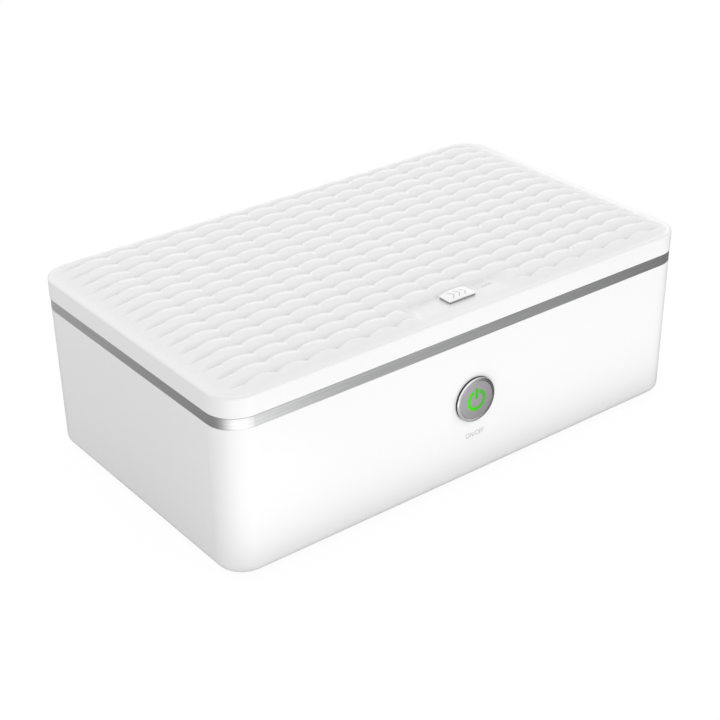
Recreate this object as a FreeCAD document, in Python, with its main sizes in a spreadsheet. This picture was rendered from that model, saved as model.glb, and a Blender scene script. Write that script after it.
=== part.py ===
"""A countertop box that cleans toys with ultraviolet light, built as separate pieces.

The case stands on four feet and carries a brushed band round its rim. A hinged lid with a raised
pattern of pillows closes the mirrored chamber. A slide on the lid locks it and a push button on the
front starts the lamps. Lengths are in millimetres, +Z is up, and the front faces -Y.
"""

import FreeCAD
import Part
import math
import os
import Sketcher
from FreeCAD import Rotation, Vector

doc = FreeCAD.newDocument("ToySterilizer")

# The driving sizes. What fits together takes its size from the same values and a named gap.
SIZES = {
    # lid and case, outside
    "lid_length": 420.0,
    "lid_depth": 247.0,
    "plan_corner": 22.5,
    "lid_overhang": 0.4,
    "base_inset": 0.9,
    "base_round": 6.0,
    "foot_proud": 2.5,
    "body_height": 114.0,
    "band_height": 8.4,
    "band_wall": 1.5,
    "lid_gap": 0.5,
    "lid_height": 15.2,
    "lid_edge_round": 1.5,
    "shell_wall": 3.2,
    "shell_floor": 3.0,
    "lid_wall": 3.0,
    "lid_top": 3.0,
    "neck_drop": 1.4,
    "seat_gap": 0.1,
    # raised pattern on the lid
    "pillow_length": 24.73,
    "pillow_width": 14.55,
    "pillow_crown": 6.0,
    "row_arch": 4.4,
    "pillow_arch": 2.4,
    "weave_plate": 1.5,
    "weave_fade_x": 19.0,
    "weave_fade_y": 11.0,
    "weave_margin_x": 24.0,
    "weave_margin_y": 14.0,
    "slide_pad_half": 37.0,
    "slide_pad_fade": 18.0,
    "slide_pad_height": 0.6,
    # chamber liner
    "liner_wall": 1.0,
    "liner_front_gap": 17.0,
    "liner_side_gap": 7.0,
    "liner_rear_gap": 7.0,
    "liner_corner": 14.0,
    "bay_height": 24.5,
    "post_radius": 4.0,
    "post_inset_x": 40.0,
    "post_inset_y": 32.0,
    # lid seal and lid reflector
    "seal_width": 4.0,
    "seal_height": 1.5,
    "seal_clearance": 0.5,
    "reflector_lift": 1.3,
    "reflector_wall": 1.2,
    "lid_post_radius": 3.2,
    "lid_post_inset": 17.0,
    # base cover and feet
    "cover_length": 240.0,
    "cover_depth": 120.0,
    "cover_corner": 6.0,
    "cover_lip": 6.0,
    "cover_wall": 1.5,
    "vent_length": 34.0,
    "vent_width": 2.6,
    "vent_pitch": 7.0,
    "foot_radius": 9.0,
    "foot_seat": 1.0,
    "foot_inset": 34.0,
    # screws
    "screw_radius": 1.5,
    "screw_head_radius": 2.7,
    "screw_head_height": 1.4,
    "screw_gap": 0.05,
    # lamps
    "lamp_length": 330.0,
    "lamp_radius": 3.0,
    "lamp_cap_radius": 4.0,
    "lamp_cap_length": 14.0,
    "lamp_spacing": 90.0,
    "lamp_lift": 5.6,
    "clip_length": 8.0,
    "clip_wall": 1.4,
    "window_length": 286.0,
    "window_width": 14.0,
    "window_wall": 1.2,
    "window_lap": 2.0,
    # toy rack
    "rack_height": 19.0,
    "rack_margin": 9.0,
    "rack_rail_radius": 2.0,
    "rack_wire_radius": 1.5,
    "rack_foot_radius": 3.6,
    "rack_foot_height": 4.0,
    "rack_foot_floor": 2.0,
    # hinges
    "hinge_inset": 80.0,
    "hinge_width": 44.0,
    "hinge_middle": 22.0,
    "hinge_out": 1.0,
    "hinge_barrel": 3.0,
    "hinge_pin": 1.25,
    "pin_gap": 0.05,
    "leaf_wall": 1.3,
    "leaf_inset": 0.5,
    "base_leaf_height": 24.0,
    "lid_leaf_height": 11.0,
    "knuckle_gap": 0.3,
    "leaf_screw_spacing": 28.0,
    # slide latch
    "slide_length": 24.4,
    "slide_depth": 12.0,
    "slide_end_height": 3.4,
    "slide_crown": 5.0,
    "slide_inset": 21.1,
    "slide_travel": 5.0,
    "slide_lift": 0.2,
    "slide_stem_length": 8.0,
    "slide_stem_depth": 4.0,
    "slot_gap": 0.3,
    "chevron_depth": 0.5,
    "chevron_pitch": 4.0,
    "bolt_plate": 2.0,
    "bolt_margin": 2.0,
    "hook_forward": 8.0,
    "hook_wall": 2.4,
    "hook_leg": 4.8,
    "hook_foot": 5.2,
    "hook_foot_height": 2.8,
    "hook_clearance": 0.3,
    "strike_wall": 1.0,
    "strike_length": 40.0,
    "strike_slot_gap": 0.8,
    "rivet_radius": 1.25,
    # push button
    "button_drop": 48.5,
    "bezel_radius": 17.5,
    "bezel_proud": 3.2,
    "bezel_bevel": 1.1,
    "bezel_lip": 0.4,
    "bezel_collar": 14.9,
    "bezel_bore": 13.6,
    "collar_length": 10.0,
    "button_head_radius": 15.0,
    "button_head": 1.0,
    "button_gap": 0.08,
    "button_sink": 0.25,
    "button_thick": 4.0,
    "button_travel": 1.2,
    "button_stem": 3.0,
    "button_stem_length": 10.0,
    "bezel_nut_radius": 18.0,
    "bezel_nut_wall": 3.0,
    "barrel_front": 10.6,
    "barrel_length": 9.0,
    "spring_radius": 5.4,
    "spring_wire": 0.8,
    "mark_radius": 8.6,
    "mark_stroke": 2.5,
    "mark_gap": 3.0,
    "mark_bar": 8.4,
    "mark_depth": 1.2,
    # power inlet
    "inlet_inset": 60.0,
    "inlet_z": 17.0,
    "inlet_flange": 8.0,
    "inlet_flange_wall": 1.5,
    "inlet_barrel": 5.9,
    "inlet_length": 12.0,
    "inlet_bore": 3.2,
    "inlet_bore_depth": 9.5,
    "inlet_pin": 1.0,
    "inlet_nut_radius": 8.5,
    "inlet_nut_wall": 2.5,
    # driver board
    "board_length": 130.0,
    "board_depth": 62.0,
    "board_wall": 1.6,
    "board_lift": 5.5,
    "board_hole_inset": 5.0,
    "standoff_radius": 3.0,
    "part_gap": 8.0,
    "coil_length": 32.0,
    "coil_depth": 28.0,
    "coil_height": 13.0,
    "chip_length": 18.0,
    "chip_depth": 14.0,
    "chip_height": 10.0,
    "plug_length": 26.0,
    "plug_depth": 8.0,
    "plug_height": 9.0,
    "can_radius": 6.0,
    "can_height": 12.0,
    "small_can_radius": 5.0,
    "small_can_height": 8.0,
    # lid interlock
    "interlock_inset_x": 90.0,
    "interlock_inset_y": 12.5,
    "magnet_radius": 4.0,
    "magnet_height": 3.0,
    "reed_length": 16.0,
    "reed_depth": 6.0,
    "reed_height": 5.0,
}

sheet = doc.addObject("Spreadsheet::Sheet", "Sizes")
for row, (alias, number) in enumerate(SIZES.items(), start=1):
    sheet.set(f"A{row}", alias)
    sheet.set(f"B{row}", str(number))
    sheet.setAlias(f"B{row}", alias)
doc.recompute()


class Size:
    """A length in millimetres with the spreadsheet formula that gives it."""

    def __init__(self, value, text):
        self.value = value
        self.text = text

    def _join(self, other, sign, value, swap=False):
        other = size(other)
        first, second = (other, self) if swap else (self, other)
        return Size(value(first.value, second.value), f"({first.text} {sign} {second.text})")

    def __add__(self, other):
        return self._join(other, "+", lambda a, b: a + b)

    def __radd__(self, other):
        return self._join(other, "+", lambda a, b: a + b, swap=True)

    def __sub__(self, other):
        return self._join(other, "-", lambda a, b: a - b)

    def __rsub__(self, other):
        return self._join(other, "-", lambda a, b: a - b, swap=True)

    def __mul__(self, other):
        return self._join(other, "*", lambda a, b: a * b)

    def __rmul__(self, other):
        return self._join(other, "*", lambda a, b: a * b, swap=True)

    def __truediv__(self, other):
        return self._join(other, "/", lambda a, b: a / b)

    def __neg__(self):
        return Size(-self.value, f"(0 - {self.text})")

    def whole(self):
        """The whole number below it."""
        return Size(float(math.floor(self.value)), f"floor({self.text})")


def size(number):
    """A Size from a sheet alias, a plain number or a Size."""
    if isinstance(number, Size):
        return number
    if isinstance(number, str):
        return Size(SIZES[number], f"Sizes.{number}")
    return Size(float(number), f"({float(number)!r})")


class Sheet:
    """Gives each driving size of the spreadsheet by its name."""

    def __getattr__(self, alias):
        return size(alias)


s = Sheet()


def bind(thing, **formulas):
    """Bind properties of a document object to sizes. x, y and z stand for its place."""
    for name, formula in formulas.items():
        path = f"Placement.Base.{name}" if name in "xyz" else name
        thing.setExpression(path, size(formula).text)


# Heights and places that several pieces share.
z_base = s.foot_proud
z_floor = z_base + s.shell_floor
z_band = z_base + s.body_height
z_rim = z_band + s.band_height
z_neck = z_rim - s.neck_drop
z_flange = z_neck + s.liner_wall
z_lid = z_rim + s.lid_gap
z_top = z_lid + s.lid_height
z_lid_inside = z_top - s.lid_top
z_reflector = z_rim + s.reflector_lift
z_reflector_top = z_reflector + s.reflector_wall
z_liner = z_floor + s.bay_height
z_liner_floor = z_liner + s.liner_wall

band_length = s.lid_length - 2 * s.lid_overhang
band_depth = s.lid_depth - 2 * s.lid_overhang
band_corner = s.plan_corner - s.lid_overhang
base_length = band_length - 2 * s.base_inset
base_depth = band_depth - 2 * s.base_inset
base_corner = band_corner - s.base_inset
neck_in = s.band_wall + s.seat_gap
neck_length = band_length - 2 * neck_in
neck_depth = band_depth - 2 * neck_in
neck_corner = band_corner - neck_in
cavity_length = band_length - 2 * s.shell_wall
cavity_depth = band_depth - 2 * s.shell_wall
cavity_corner = band_corner - s.shell_wall
liner_length = cavity_length - 2 * s.liner_side_gap
liner_depth = cavity_depth - s.liner_front_gap - s.liner_rear_gap
liner_y = (s.liner_front_gap - s.liner_rear_gap) / 2
lid_inside_length = s.lid_length - 2 * s.lid_wall
lid_inside_depth = s.lid_depth - 2 * s.lid_wall
lid_inside_corner = s.plan_corner - s.lid_wall
front_seat = base_depth / 2
button_z = z_band - s.button_drop
inlet_x = s.lid_length / 2 - s.inlet_inset
hinge_x = s.lid_length / 2 - s.hinge_inset
slide_y = s.slide_inset - s.lid_depth / 2
interlock_x = s.interlock_inset_x - s.lid_length / 2
interlock_y = s.interlock_inset_y - s.lid_depth / 2
hinge_y = s.lid_depth / 2 + s.hinge_out
hinge_z = z_rim + s.lid_gap / 2

# The whole object is centred on its own box: the bezel stands out in front and the hinges behind.
front_reach = front_seat + s.bezel_proud
rear_reach = hinge_y + s.hinge_barrel
case_shift = (front_reach - rear_reach) / 2

nodes = []


def node(label, thing):
    """Name a finished sub-part after its file and set it in the object's own frame."""
    thing.Label = label
    bind(thing, y=case_shift)
    nodes.append(thing)
    return thing


# Sketches and the features made from them.


def new_body(name):
    return doc.addObject("PartDesign::Body", name)


def new_sketch(body, role, height):
    """A sketch on one of the body's origin planes, moved along that plane's normal."""
    sketch = body.newObject("Sketcher::SketchObject", "sketch")
    base = next(f for f in body.Origin.OriginFeatures if f.Role == role)
    sketch.AttachmentSupport = [(base, "")]
    sketch.MapMode = "FlatFace"
    sketch.setExpression("AttachmentOffset.Base.z", size(height).text)
    return sketch


def dimension(sketch, kind, *where, value):
    """A sketch constraint that follows a size."""
    value = size(value)
    index = sketch.addConstraint(Sketcher.Constraint(kind, *where, value.value))
    name = f"size_{index}"
    sketch.renameConstraint(index, name)
    sketch.setExpression(f"Constraints.{name}", value.text)


def place_point(sketch, geometry, point, x, y):
    dimension(sketch, "DistanceX", -1, 1, geometry, point, value=x)
    dimension(sketch, "DistanceY", -1, 1, geometry, point, value=y)


def draw_rounded(sketch, length, depth, corner, x=0.0, y=0.0):
    """A rectangle with round corners about the point x, y."""
    length, depth, corner, x, y = (size(v) for v in (length, depth, corner, x, y))
    reach_x = length / 2 - corner
    reach_y = depth / 2 - corner
    arcs = []
    for quarter, (side_x, side_y) in enumerate(((1, 1), (-1, 1), (-1, -1), (1, -1))):
        centre = Vector(x.value + side_x * reach_x.value, y.value + side_y * reach_y.value, 0)
        circle = Part.Circle(centre, Vector(0, 0, 1), corner.value)
        start = quarter * math.pi / 2
        arcs.append(sketch.addGeometry(Part.ArcOfCircle(circle, start, start + math.pi / 2), False))
    lines = []
    for index, arc in enumerate(arcs):
        first = sketch.Geometry[arc].EndPoint
        last = sketch.Geometry[arcs[(index + 1) % 4]].StartPoint
        lines.append(sketch.addGeometry(Part.LineSegment(first, last), False))
    for index, line in enumerate(lines):
        sketch.addConstraint(Sketcher.Constraint("Tangent", arcs[index], 2, line, 1))
        sketch.addConstraint(Sketcher.Constraint("Tangent", line, 2, arcs[(index + 1) % 4], 1))
        sketch.addConstraint(Sketcher.Constraint("Vertical" if index % 2 else "Horizontal", line))
    for arc in arcs[1:]:
        sketch.addConstraint(Sketcher.Constraint("Equal", arcs[0], arc))
    dimension(sketch, "Radius", arcs[0], value=corner)
    place_point(sketch, arcs[0], 3, x + reach_x, y + reach_y)
    dimension(sketch, "DistanceX", arcs[2], 3, arcs[3], 3, value=2 * reach_x)
    dimension(sketch, "DistanceY", arcs[3], 3, arcs[0], 3, value=2 * reach_y)


def draw_circle(sketch, radius, x=0.0, y=0.0):
    radius, x, y = (size(v) for v in (radius, x, y))
    circle = Part.Circle(Vector(x.value, y.value, 0), Vector(0, 0, 1), radius.value)
    index = sketch.addGeometry(circle, False)
    dimension(sketch, "Radius", index, value=radius)
    place_point(sketch, index, 3, x, y)


def draw_outline(sketch, *points):
    """A closed outline of straight lines through the points."""
    points = [(size(x), size(y)) for x, y in points]
    lines = []
    for (x1, y1), (x2, y2) in zip(points, points[1:] + points[:1]):
        line = Part.LineSegment(Vector(x1.value, y1.value, 0), Vector(x2.value, y2.value, 0))
        lines.append(sketch.addGeometry(line, False))
    for index, line in enumerate(lines):
        after = lines[(index + 1) % len(lines)]
        sketch.addConstraint(Sketcher.Constraint("Coincident", line, 2, after, 1))
        place_point(sketch, line, 1, *points[index])


def draw_rectangle(sketch, length, depth, x=0.0, y=0.0):
    half_x = size(length) / 2
    half_y = size(depth) / 2
    x = size(x)
    y = size(y)
    draw_outline(sketch, (x - half_x, y - half_y), (x + half_x, y - half_y),
                 (x + half_x, y + half_y), (x - half_x, y + half_y))


def pad(body, sketch, length, taper=None):
    """Raise the sketch along its plane's normal."""
    feature = body.newObject("PartDesign::Pad", "pad")
    feature.Profile = sketch
    bind(feature, Length=length)
    if taper is not None:
        feature.setExpression("TaperAngle", taper)
    doc.recompute()
    return feature


def pocket(body, sketch, length, upward=False):
    """Cut the sketch into the body, against its plane's normal or, upward, along it."""
    before = body.Shape.Volume
    feature = body.newObject("PartDesign::Pocket", "pocket")
    feature.Profile = sketch
    feature.Reversed = upward
    bind(feature, Length=length)
    doc.recompute()
    if body.Shape.Volume > before - 1e-6:
        raise RuntimeError(f"a pocket of {body.Name} cuts nothing")
    return feature


def revolve(body, sketch):
    """Turn the sketch once about the vertical axis of its own plane."""
    feature = body.newObject("PartDesign::Revolution", "revolution")
    feature.Profile = sketch
    feature.ReferenceAxis = (sketch, ["V_Axis"])
    feature.Angle = 360.0
    doc.recompute()
    return feature


def fillet(body, radius, choose):
    """Round the edges of the body's last feature that choose picks."""
    last = body.Tip
    edges = [f"Edge{n}" for n, edge in enumerate(last.Shape.Edges, start=1) if choose(edge)]
    feature = body.newObject("PartDesign::Fillet", "fillet")
    feature.Base = (last, edges)
    bind(feature, Radius=radius)
    doc.recompute()
    return feature


def lies_at_height(edge, height):
    box = edge.BoundBox
    return abs(box.ZMin - height) < 1e-4 and abs(box.ZMax - height) < 1e-4


# Plain solids and what is made from them.

TURN = {"X": Rotation(Vector(0, 1, 0), 90), "Y": Rotation(Vector(1, 0, 0), -90), "Z": Rotation()}


def block(x, y, z, length, depth, height):
    """A block from its lowest corner."""
    thing = doc.addObject("Part::Box", "block")
    bind(thing, x=x, y=y, z=z, Length=length, Width=depth, Height=height)
    return thing


def rod(x, y, z, radius, length, along="Z"):
    """A round rod from the centre of its first end."""
    thing = doc.addObject("Part::Cylinder", "rod")
    thing.Placement.Rotation = TURN[along]
    bind(thing, x=x, y=y, z=z, Radius=radius, Height=length)
    return thing


def fuse(*things):
    if len(things) == 1:
        return things[0]
    thing = doc.addObject("Part::MultiFuse", "fuse")
    thing.Shapes = list(things)
    thing.Refine = True
    return thing


def cut(base, *tools):
    thing = doc.addObject("Part::Cut", "cut")
    thing.Base = base
    thing.Tool = fuse(*tools)
    return thing


def common(first, second):
    thing = doc.addObject("Part::Common", "common")
    thing.Base = first
    thing.Tool = second
    return thing


def group(*things):
    """Separate solids that share one node."""
    thing = doc.addObject("Part::Compound", "group")
    thing.Links = list(things)
    return thing


def corners(x, y):
    """The four mirrored places of one point."""
    return [(sx * size(x), sy * size(y)) for sx in (-1, 1) for sy in (-1, 1)]


# Outer shell: moulded tub with drafted walls, a rounded bottom edge and a neck inside the band.
post_x = liner_length / 2 - s.post_inset_x
post_y = liner_depth / 2 - s.post_inset_y
post_places = [(x, y + liner_y) for x, y in corners(post_x, post_y)]
foot_x = base_length / 2 - s.foot_inset
foot_y = base_depth / 2 - s.foot_inset
cover_screw_x = s.cover_length / 2 - s.cover_lip / 2
cover_screw_y = s.cover_depth / 2 - s.cover_lip / 2 - s.cover_corner
screw_hole = s.screw_radius + s.screw_gap
leaf_face = s.lid_depth / 2 - s.leaf_inset
leaf_pocket = leaf_face - s.leaf_wall - s.seat_gap
base_leaf_bottom = hinge_z - s.base_leaf_height
base_leaf_screw_z = hinge_z - s.base_leaf_height * 0.72
lid_leaf_screw_z = hinge_z + s.lid_leaf_height * 0.62
hinge_places = [-hinge_x, hinge_x]
leaf_screw_xs = [x + side * s.leaf_screw_spacing / 2 for x in hinge_places for side in (-1, 1)]

shell = new_body("outer_shell")
outline = new_sketch(shell, "XY_Plane", z_base)
draw_rounded(outline, base_length, base_depth, base_corner)
pad(shell, outline, s.body_height, taper="atan(Sizes.base_inset / Sizes.body_height)")
fillet(shell, s.base_round, lambda edge: lies_at_height(edge, z_base.value))
outline = new_sketch(shell, "XY_Plane", z_band)
draw_rounded(outline, neck_length, neck_depth, neck_corner)
pad(shell, outline, z_neck - z_band)
outline = new_sketch(shell, "XY_Plane", z_neck)
draw_rounded(outline, cavity_length, cavity_depth, cavity_corner)
pocket(shell, outline, z_neck - z_floor)
outline = new_sketch(shell, "XY_Plane", z_floor)
for x, y in post_places:
    draw_circle(outline, s.post_radius, x, y)
pad(shell, outline, s.bay_height)
outline = new_sketch(shell, "XY_Plane", z_liner)
for x, y in post_places:
    draw_circle(outline, screw_hole, x, y)
pocket(shell, outline, s.bay_height / 2)
outline = new_sketch(shell, "XY_Plane", z_base)
draw_rounded(outline, s.cover_length + 2 * s.seat_gap, s.cover_depth + 2 * s.seat_gap, s.cover_corner)
pocket(shell, outline, s.cover_wall, upward=True)
outline = new_sketch(shell, "XY_Plane", z_base)
draw_rounded(outline, s.cover_length - 2 * s.cover_lip, s.cover_depth - 2 * s.cover_lip, s.cover_corner / 2)
pocket(shell, outline, s.shell_floor, upward=True)
outline = new_sketch(shell, "XY_Plane", z_base)
for x, y in corners(cover_screw_x, cover_screw_y):
    draw_circle(outline, screw_hole, x, y)
pocket(shell, outline, s.shell_floor, upward=True)
outline = new_sketch(shell, "XY_Plane", z_base)
for x, y in corners(foot_x, foot_y):
    draw_circle(outline, s.foot_radius + s.seat_gap, x, y)
pocket(shell, outline, s.foot_seat, upward=True)
# The front and rear sketches lie on planes that face -Y, so a rear place has its height from them negated.
outline = new_sketch(shell, "XZ_Plane", s.lid_depth / 2)
draw_circle(outline, s.bezel_radius + s.seat_gap, 0, button_z)
pocket(shell, outline, s.lid_depth / 2 - front_seat)
outline = new_sketch(shell, "XZ_Plane", s.lid_depth / 2)
draw_circle(outline, s.bezel_collar + s.seat_gap, 0, button_z)
pocket(shell, outline, s.shell_wall * 2)
outline = new_sketch(shell, "XZ_Plane", -s.lid_depth / 2)
draw_circle(outline, s.inlet_flange + s.seat_gap, inlet_x, s.inlet_z)
pocket(shell, outline, s.lid_depth / 2 - front_seat, upward=True)
outline = new_sketch(shell, "XZ_Plane", -s.lid_depth / 2)
draw_circle(outline, s.inlet_barrel + s.seat_gap, inlet_x, s.inlet_z)
pocket(shell, outline, s.shell_wall * 2, upward=True)
outline = new_sketch(shell, "XZ_Plane", -s.lid_depth / 2)
for x in hinge_places:
    draw_rectangle(outline, s.hinge_width + 2 * s.knuckle_gap, z_band - base_leaf_bottom + s.seat_gap,
                   x, (z_band + base_leaf_bottom - s.seat_gap) / 2)
pocket(shell, outline, s.lid_depth / 2 - leaf_pocket, upward=True)
outline = new_sketch(shell, "XZ_Plane", -s.lid_depth / 2)
for x in leaf_screw_xs:
    draw_circle(outline, screw_hole, x, base_leaf_screw_z)
pocket(shell, outline, s.shell_wall * 2, upward=True)
node("outer_shell", shell)

# Trim band: brushed ring round the neck, open at the back where the hinge leaves pass.
band = new_body("trim_band")
outline = new_sketch(band, "XY_Plane", z_band)
draw_rounded(outline, band_length, band_depth, band_corner)
draw_rounded(outline, band_length - 2 * s.band_wall, band_depth - 2 * s.band_wall, band_corner - s.band_wall)
pad(band, outline, s.band_height)
outline = new_sketch(band, "XY_Plane", z_rim)
for x in hinge_places:
    draw_rectangle(outline, s.hinge_width + 2 * s.knuckle_gap, s.band_wall * 4, x, band_depth / 2)
pocket(band, outline, s.band_height)
node("trim_band", band)

# Base cover: plate in the rebate under the case, with a plug that fills the opening and vent slots.
cover = new_body("base_cover")
outline = new_sketch(cover, "XY_Plane", z_base)
draw_rounded(outline, s.cover_length, s.cover_depth, s.cover_corner)
pad(cover, outline, s.cover_wall)
outline = new_sketch(cover, "XY_Plane", z_base + s.cover_wall)
plug_cut = 2 * s.cover_lip + 2 * s.seat_gap
draw_rounded(outline, s.cover_length - plug_cut, s.cover_depth - plug_cut, s.cover_corner / 2)
pad(cover, outline, s.shell_floor - s.cover_wall)
outline = new_sketch(cover, "XY_Plane", z_base)
VENTS = 6
for index in range(VENTS):
    for side in (-1, 1):
        x = side * (s.board_length / 2 + s.vent_pitch * (index + 1) - s.vent_pitch / 2)
        draw_rectangle(outline, s.vent_width, s.vent_length, x, 0)
pocket(cover, outline, s.shell_floor, upward=True)
outline = new_sketch(cover, "XY_Plane", z_base)
for x, y in corners(cover_screw_x, cover_screw_y):
    draw_circle(outline, screw_hole, x, y)
pocket(cover, outline, s.cover_wall, upward=True)
node("base_cover", cover)


def screw(x, y, z, length, up=True):
    """Pan-head screw. z is the height of the face under its head, and its shank runs up or down."""
    x, y, z, length = (size(v) for v in (x, y, z, length))
    if up:
        head = rod(x, y, z - s.screw_head_height, s.screw_head_radius, s.screw_head_height)
        return fuse(head, rod(x, y, z, s.screw_radius, length))
    return fuse(rod(x, y, z, s.screw_head_radius, s.screw_head_height),
                rod(x, y, z - length, s.screw_radius, length))


def rear_screw(x, y, z, length):
    """The same screw lying along Y, with its head behind the face at y."""
    return fuse(rod(x, y, z, s.screw_head_radius, s.screw_head_height, "Y"),
                rod(x, y - length, z, s.screw_radius, length, "Y"))


cover_screws = [screw(x, y, z_base, s.shell_floor) for x, y in corners(cover_screw_x, cover_screw_y)]
node("cover_screws", group(*cover_screws))

# Feet: rubber discs in seats under the corners of the case.
foot_height = s.foot_proud + s.foot_seat
node("feet", group(*(rod(x, y, 0, s.foot_radius, foot_height) for x, y in corners(foot_x, foot_y))))

# Chamber liner: polished tub that stands on the four posts, with a flange over the neck of the case.
hook_y = slide_y - s.hook_forward
strike_slot_length = s.hook_leg + s.hook_foot + 2 * s.strike_slot_gap
strike_slot_depth = s.hook_wall + 2 * s.strike_slot_gap

liner = new_body("chamber_liner")
outline = new_sketch(liner, "XY_Plane", z_liner)
draw_rounded(outline, liner_length, liner_depth, s.liner_corner, 0, liner_y)
pad(liner, outline, z_neck - z_liner)
outline = new_sketch(liner, "XY_Plane", z_neck)
draw_rounded(outline, neck_length, neck_depth, neck_corner)
pad(liner, outline, s.liner_wall)
outline = new_sketch(liner, "XY_Plane", z_flange)
draw_rounded(outline, liner_length - 2 * s.liner_wall, liner_depth - 2 * s.liner_wall,
             s.liner_corner - s.liner_wall, 0, liner_y)
pocket(liner, outline, z_flange - z_liner_floor)
outline = new_sketch(liner, "XY_Plane", z_liner_floor)
for x, y in post_places:
    draw_circle(outline, screw_hole, x, y)
pocket(liner, outline, s.liner_wall)
outline = new_sketch(liner, "XY_Plane", z_flange)
draw_rectangle(outline, strike_slot_length, strike_slot_depth, 0, hook_y)
pocket(liner, outline, s.liner_wall)
node("chamber_liner", liner)
node("liner_screws", group(*(screw(x, y, z_liner_floor, s.bay_height / 3, up=False) for x, y in post_places)))

# Lid seal: silicone ring on the flange, just inside the skirt of the lid.
seal_length = lid_inside_length - 2 * s.seal_clearance
seal_depth = lid_inside_depth - 2 * s.seal_clearance
seal_corner = lid_inside_corner - s.seal_clearance
seal = new_body("lid_seal")
outline = new_sketch(seal, "XY_Plane", z_flange)
draw_rounded(outline, seal_length, seal_depth, seal_corner)
draw_rounded(outline, seal_length - 2 * s.seal_width, seal_depth - 2 * s.seal_width,
             seal_corner - s.seal_width)
pad(seal, outline, s.seal_height)
node("lid_seal", seal)


# Lamps: each is a glass tube with a silicone cap at both ends, held by two clips on a mirrored face.
def lamp_set(name, z_face, y_middle):
    """Two lamps that lie along X above the face at z_face."""
    tubes = []
    caps = []
    clips = []
    half = s.lamp_length / 2
    z_axis = z_face + s.lamp_lift
    clip_half = s.lamp_radius + s.clip_wall
    for side in (-1, 1):
        y = y_middle + side * s.lamp_spacing / 2
        tubes.append(rod(-half, y, z_axis, s.lamp_radius, s.lamp_length, "X"))
        for end in (-1, 1):
            start = -half - s.lamp_cap_length / 2 if end < 0 else half - s.lamp_cap_length / 2
            cap = rod(start, y, z_axis, s.lamp_cap_radius, s.lamp_cap_length, "X")
            socket_start = -half if end < 0 else half - s.lamp_cap_length / 2
            socket = rod(socket_start, y, z_axis, s.lamp_radius, s.lamp_cap_length / 2, "X")
            caps.append(cut(cap, socket))
            middle = end * (half - s.lamp_cap_length)
            clip = block(middle - s.clip_length / 2, y - clip_half, z_face, s.clip_length, 2 * clip_half,
                         s.lamp_lift + s.lamp_radius / 2)
            hole = rod(middle - s.clip_length, y, z_axis, s.lamp_radius, 2 * s.clip_length, "X")
            clips.append(cut(clip, hole))
    node(f"{name}_lamp_tubes", group(*tubes))
    node(f"{name}_lamp_caps", group(*caps))
    node(f"{name}_lamp_clips", group(*clips))


lamp_set("lower", z_liner_floor, liner_y)

# Toy rack: welded wire grid on four legs in rubber feet. It lifts out by hand.
rack_x = liner_length / 2 - s.liner_wall - s.rack_margin
rack_y = liner_depth / 2 - s.liner_wall - s.rack_margin
z_rack = z_liner_floor + s.rack_height
z_leg = z_liner_floor + s.rack_foot_floor
rails = [rod(-rack_x, liner_y + side * rack_y, z_rack, s.rack_rail_radius, 2 * rack_x, "X")
         for side in (-1, 1)]
WIRES = 13
wires = []
for index in range(WIRES):
    end = index in (0, WIRES - 1)
    x = rack_x * (2 * index / (WIRES - 1) - 1)
    radius = s.rack_rail_radius if end else s.rack_wire_radius
    wires.append(rod(x, liner_y - rack_y, z_rack, radius, 2 * rack_y, "Y"))
leg_places = [(x, y + liner_y) for x, y in corners(rack_x, rack_y)]
legs = [rod(x, y, z_leg, s.rack_rail_radius, z_rack - z_leg) for x, y in leg_places]
elbows = []
for x, y in leg_places:
    elbow = doc.addObject("Part::Sphere", "elbow")
    bind(elbow, x=x, y=y, z=z_rack, Radius=s.rack_rail_radius)
    elbows.append(elbow)
node("toy_rack", fuse(*rails, *wires, *legs, *elbows))
rack_feet = []
for x, y in leg_places:
    foot = rod(x, y, z_liner_floor, s.rack_foot_radius, s.rack_foot_height)
    rack_feet.append(cut(foot, rod(x, y, z_leg, s.rack_rail_radius, s.rack_foot_height)))
node("rack_feet", group(*rack_feet))

# Driver board with its parts, on standoffs that rise from the base cover.
z_board = z_floor + s.board_lift
hole_x = s.board_length / 2 - s.board_hole_inset
hole_y = s.board_depth / 2 - s.board_hole_inset
board = new_body("driver_board")
outline = new_sketch(board, "XY_Plane", z_board)
draw_rectangle(outline, s.board_length, s.board_depth)
for x, y in corners(hole_x, hole_y):
    draw_circle(outline, screw_hole, x, y)
pad(board, outline, s.board_wall)
node("driver_board", board)
z_parts = z_board + s.board_wall
coil_x = 3 * s.board_hole_inset - s.board_length / 2
chip_x = coil_x + s.coil_length + s.part_gap
plug_x = chip_x + s.chip_length + s.part_gap
can_x = plug_x + s.can_radius
can_y = -s.part_gap / 2 - s.can_radius
driver_parts = [
    block(coil_x, -s.coil_depth / 2, z_parts, s.coil_length, s.coil_depth, s.coil_height),
    block(chip_x, -s.part_gap / 2 - s.chip_depth, z_parts, s.chip_length, s.chip_depth, s.chip_height),
    block(plug_x, s.part_gap / 2, z_parts, s.plug_length, s.plug_depth, s.plug_height),
    rod(can_x, can_y, z_parts, s.can_radius, s.can_height),
    rod(can_x + 2 * s.can_radius + s.part_gap / 2, can_y, z_parts, s.can_radius, s.can_height),
    rod(chip_x + s.small_can_radius, s.part_gap / 2 + s.small_can_radius, z_parts, s.small_can_radius,
        s.small_can_height),
]
node("driver_parts", group(*driver_parts))
standoffs = []
for x, y in corners(hole_x, hole_y):
    standoff = rod(x, y, z_floor, s.standoff_radius, s.board_lift)
    standoffs.append(cut(standoff, rod(x, y, z_floor + s.board_lift / 4, screw_hole, s.board_lift)))
node("board_standoffs", group(*standoffs))
board_reach = s.board_wall + s.board_lift / 2
board_screws = [screw(x, y, z_parts, board_reach, up=False) for x, y in corners(hole_x, hole_y)]
node("board_screws", group(*board_screws))

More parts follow.
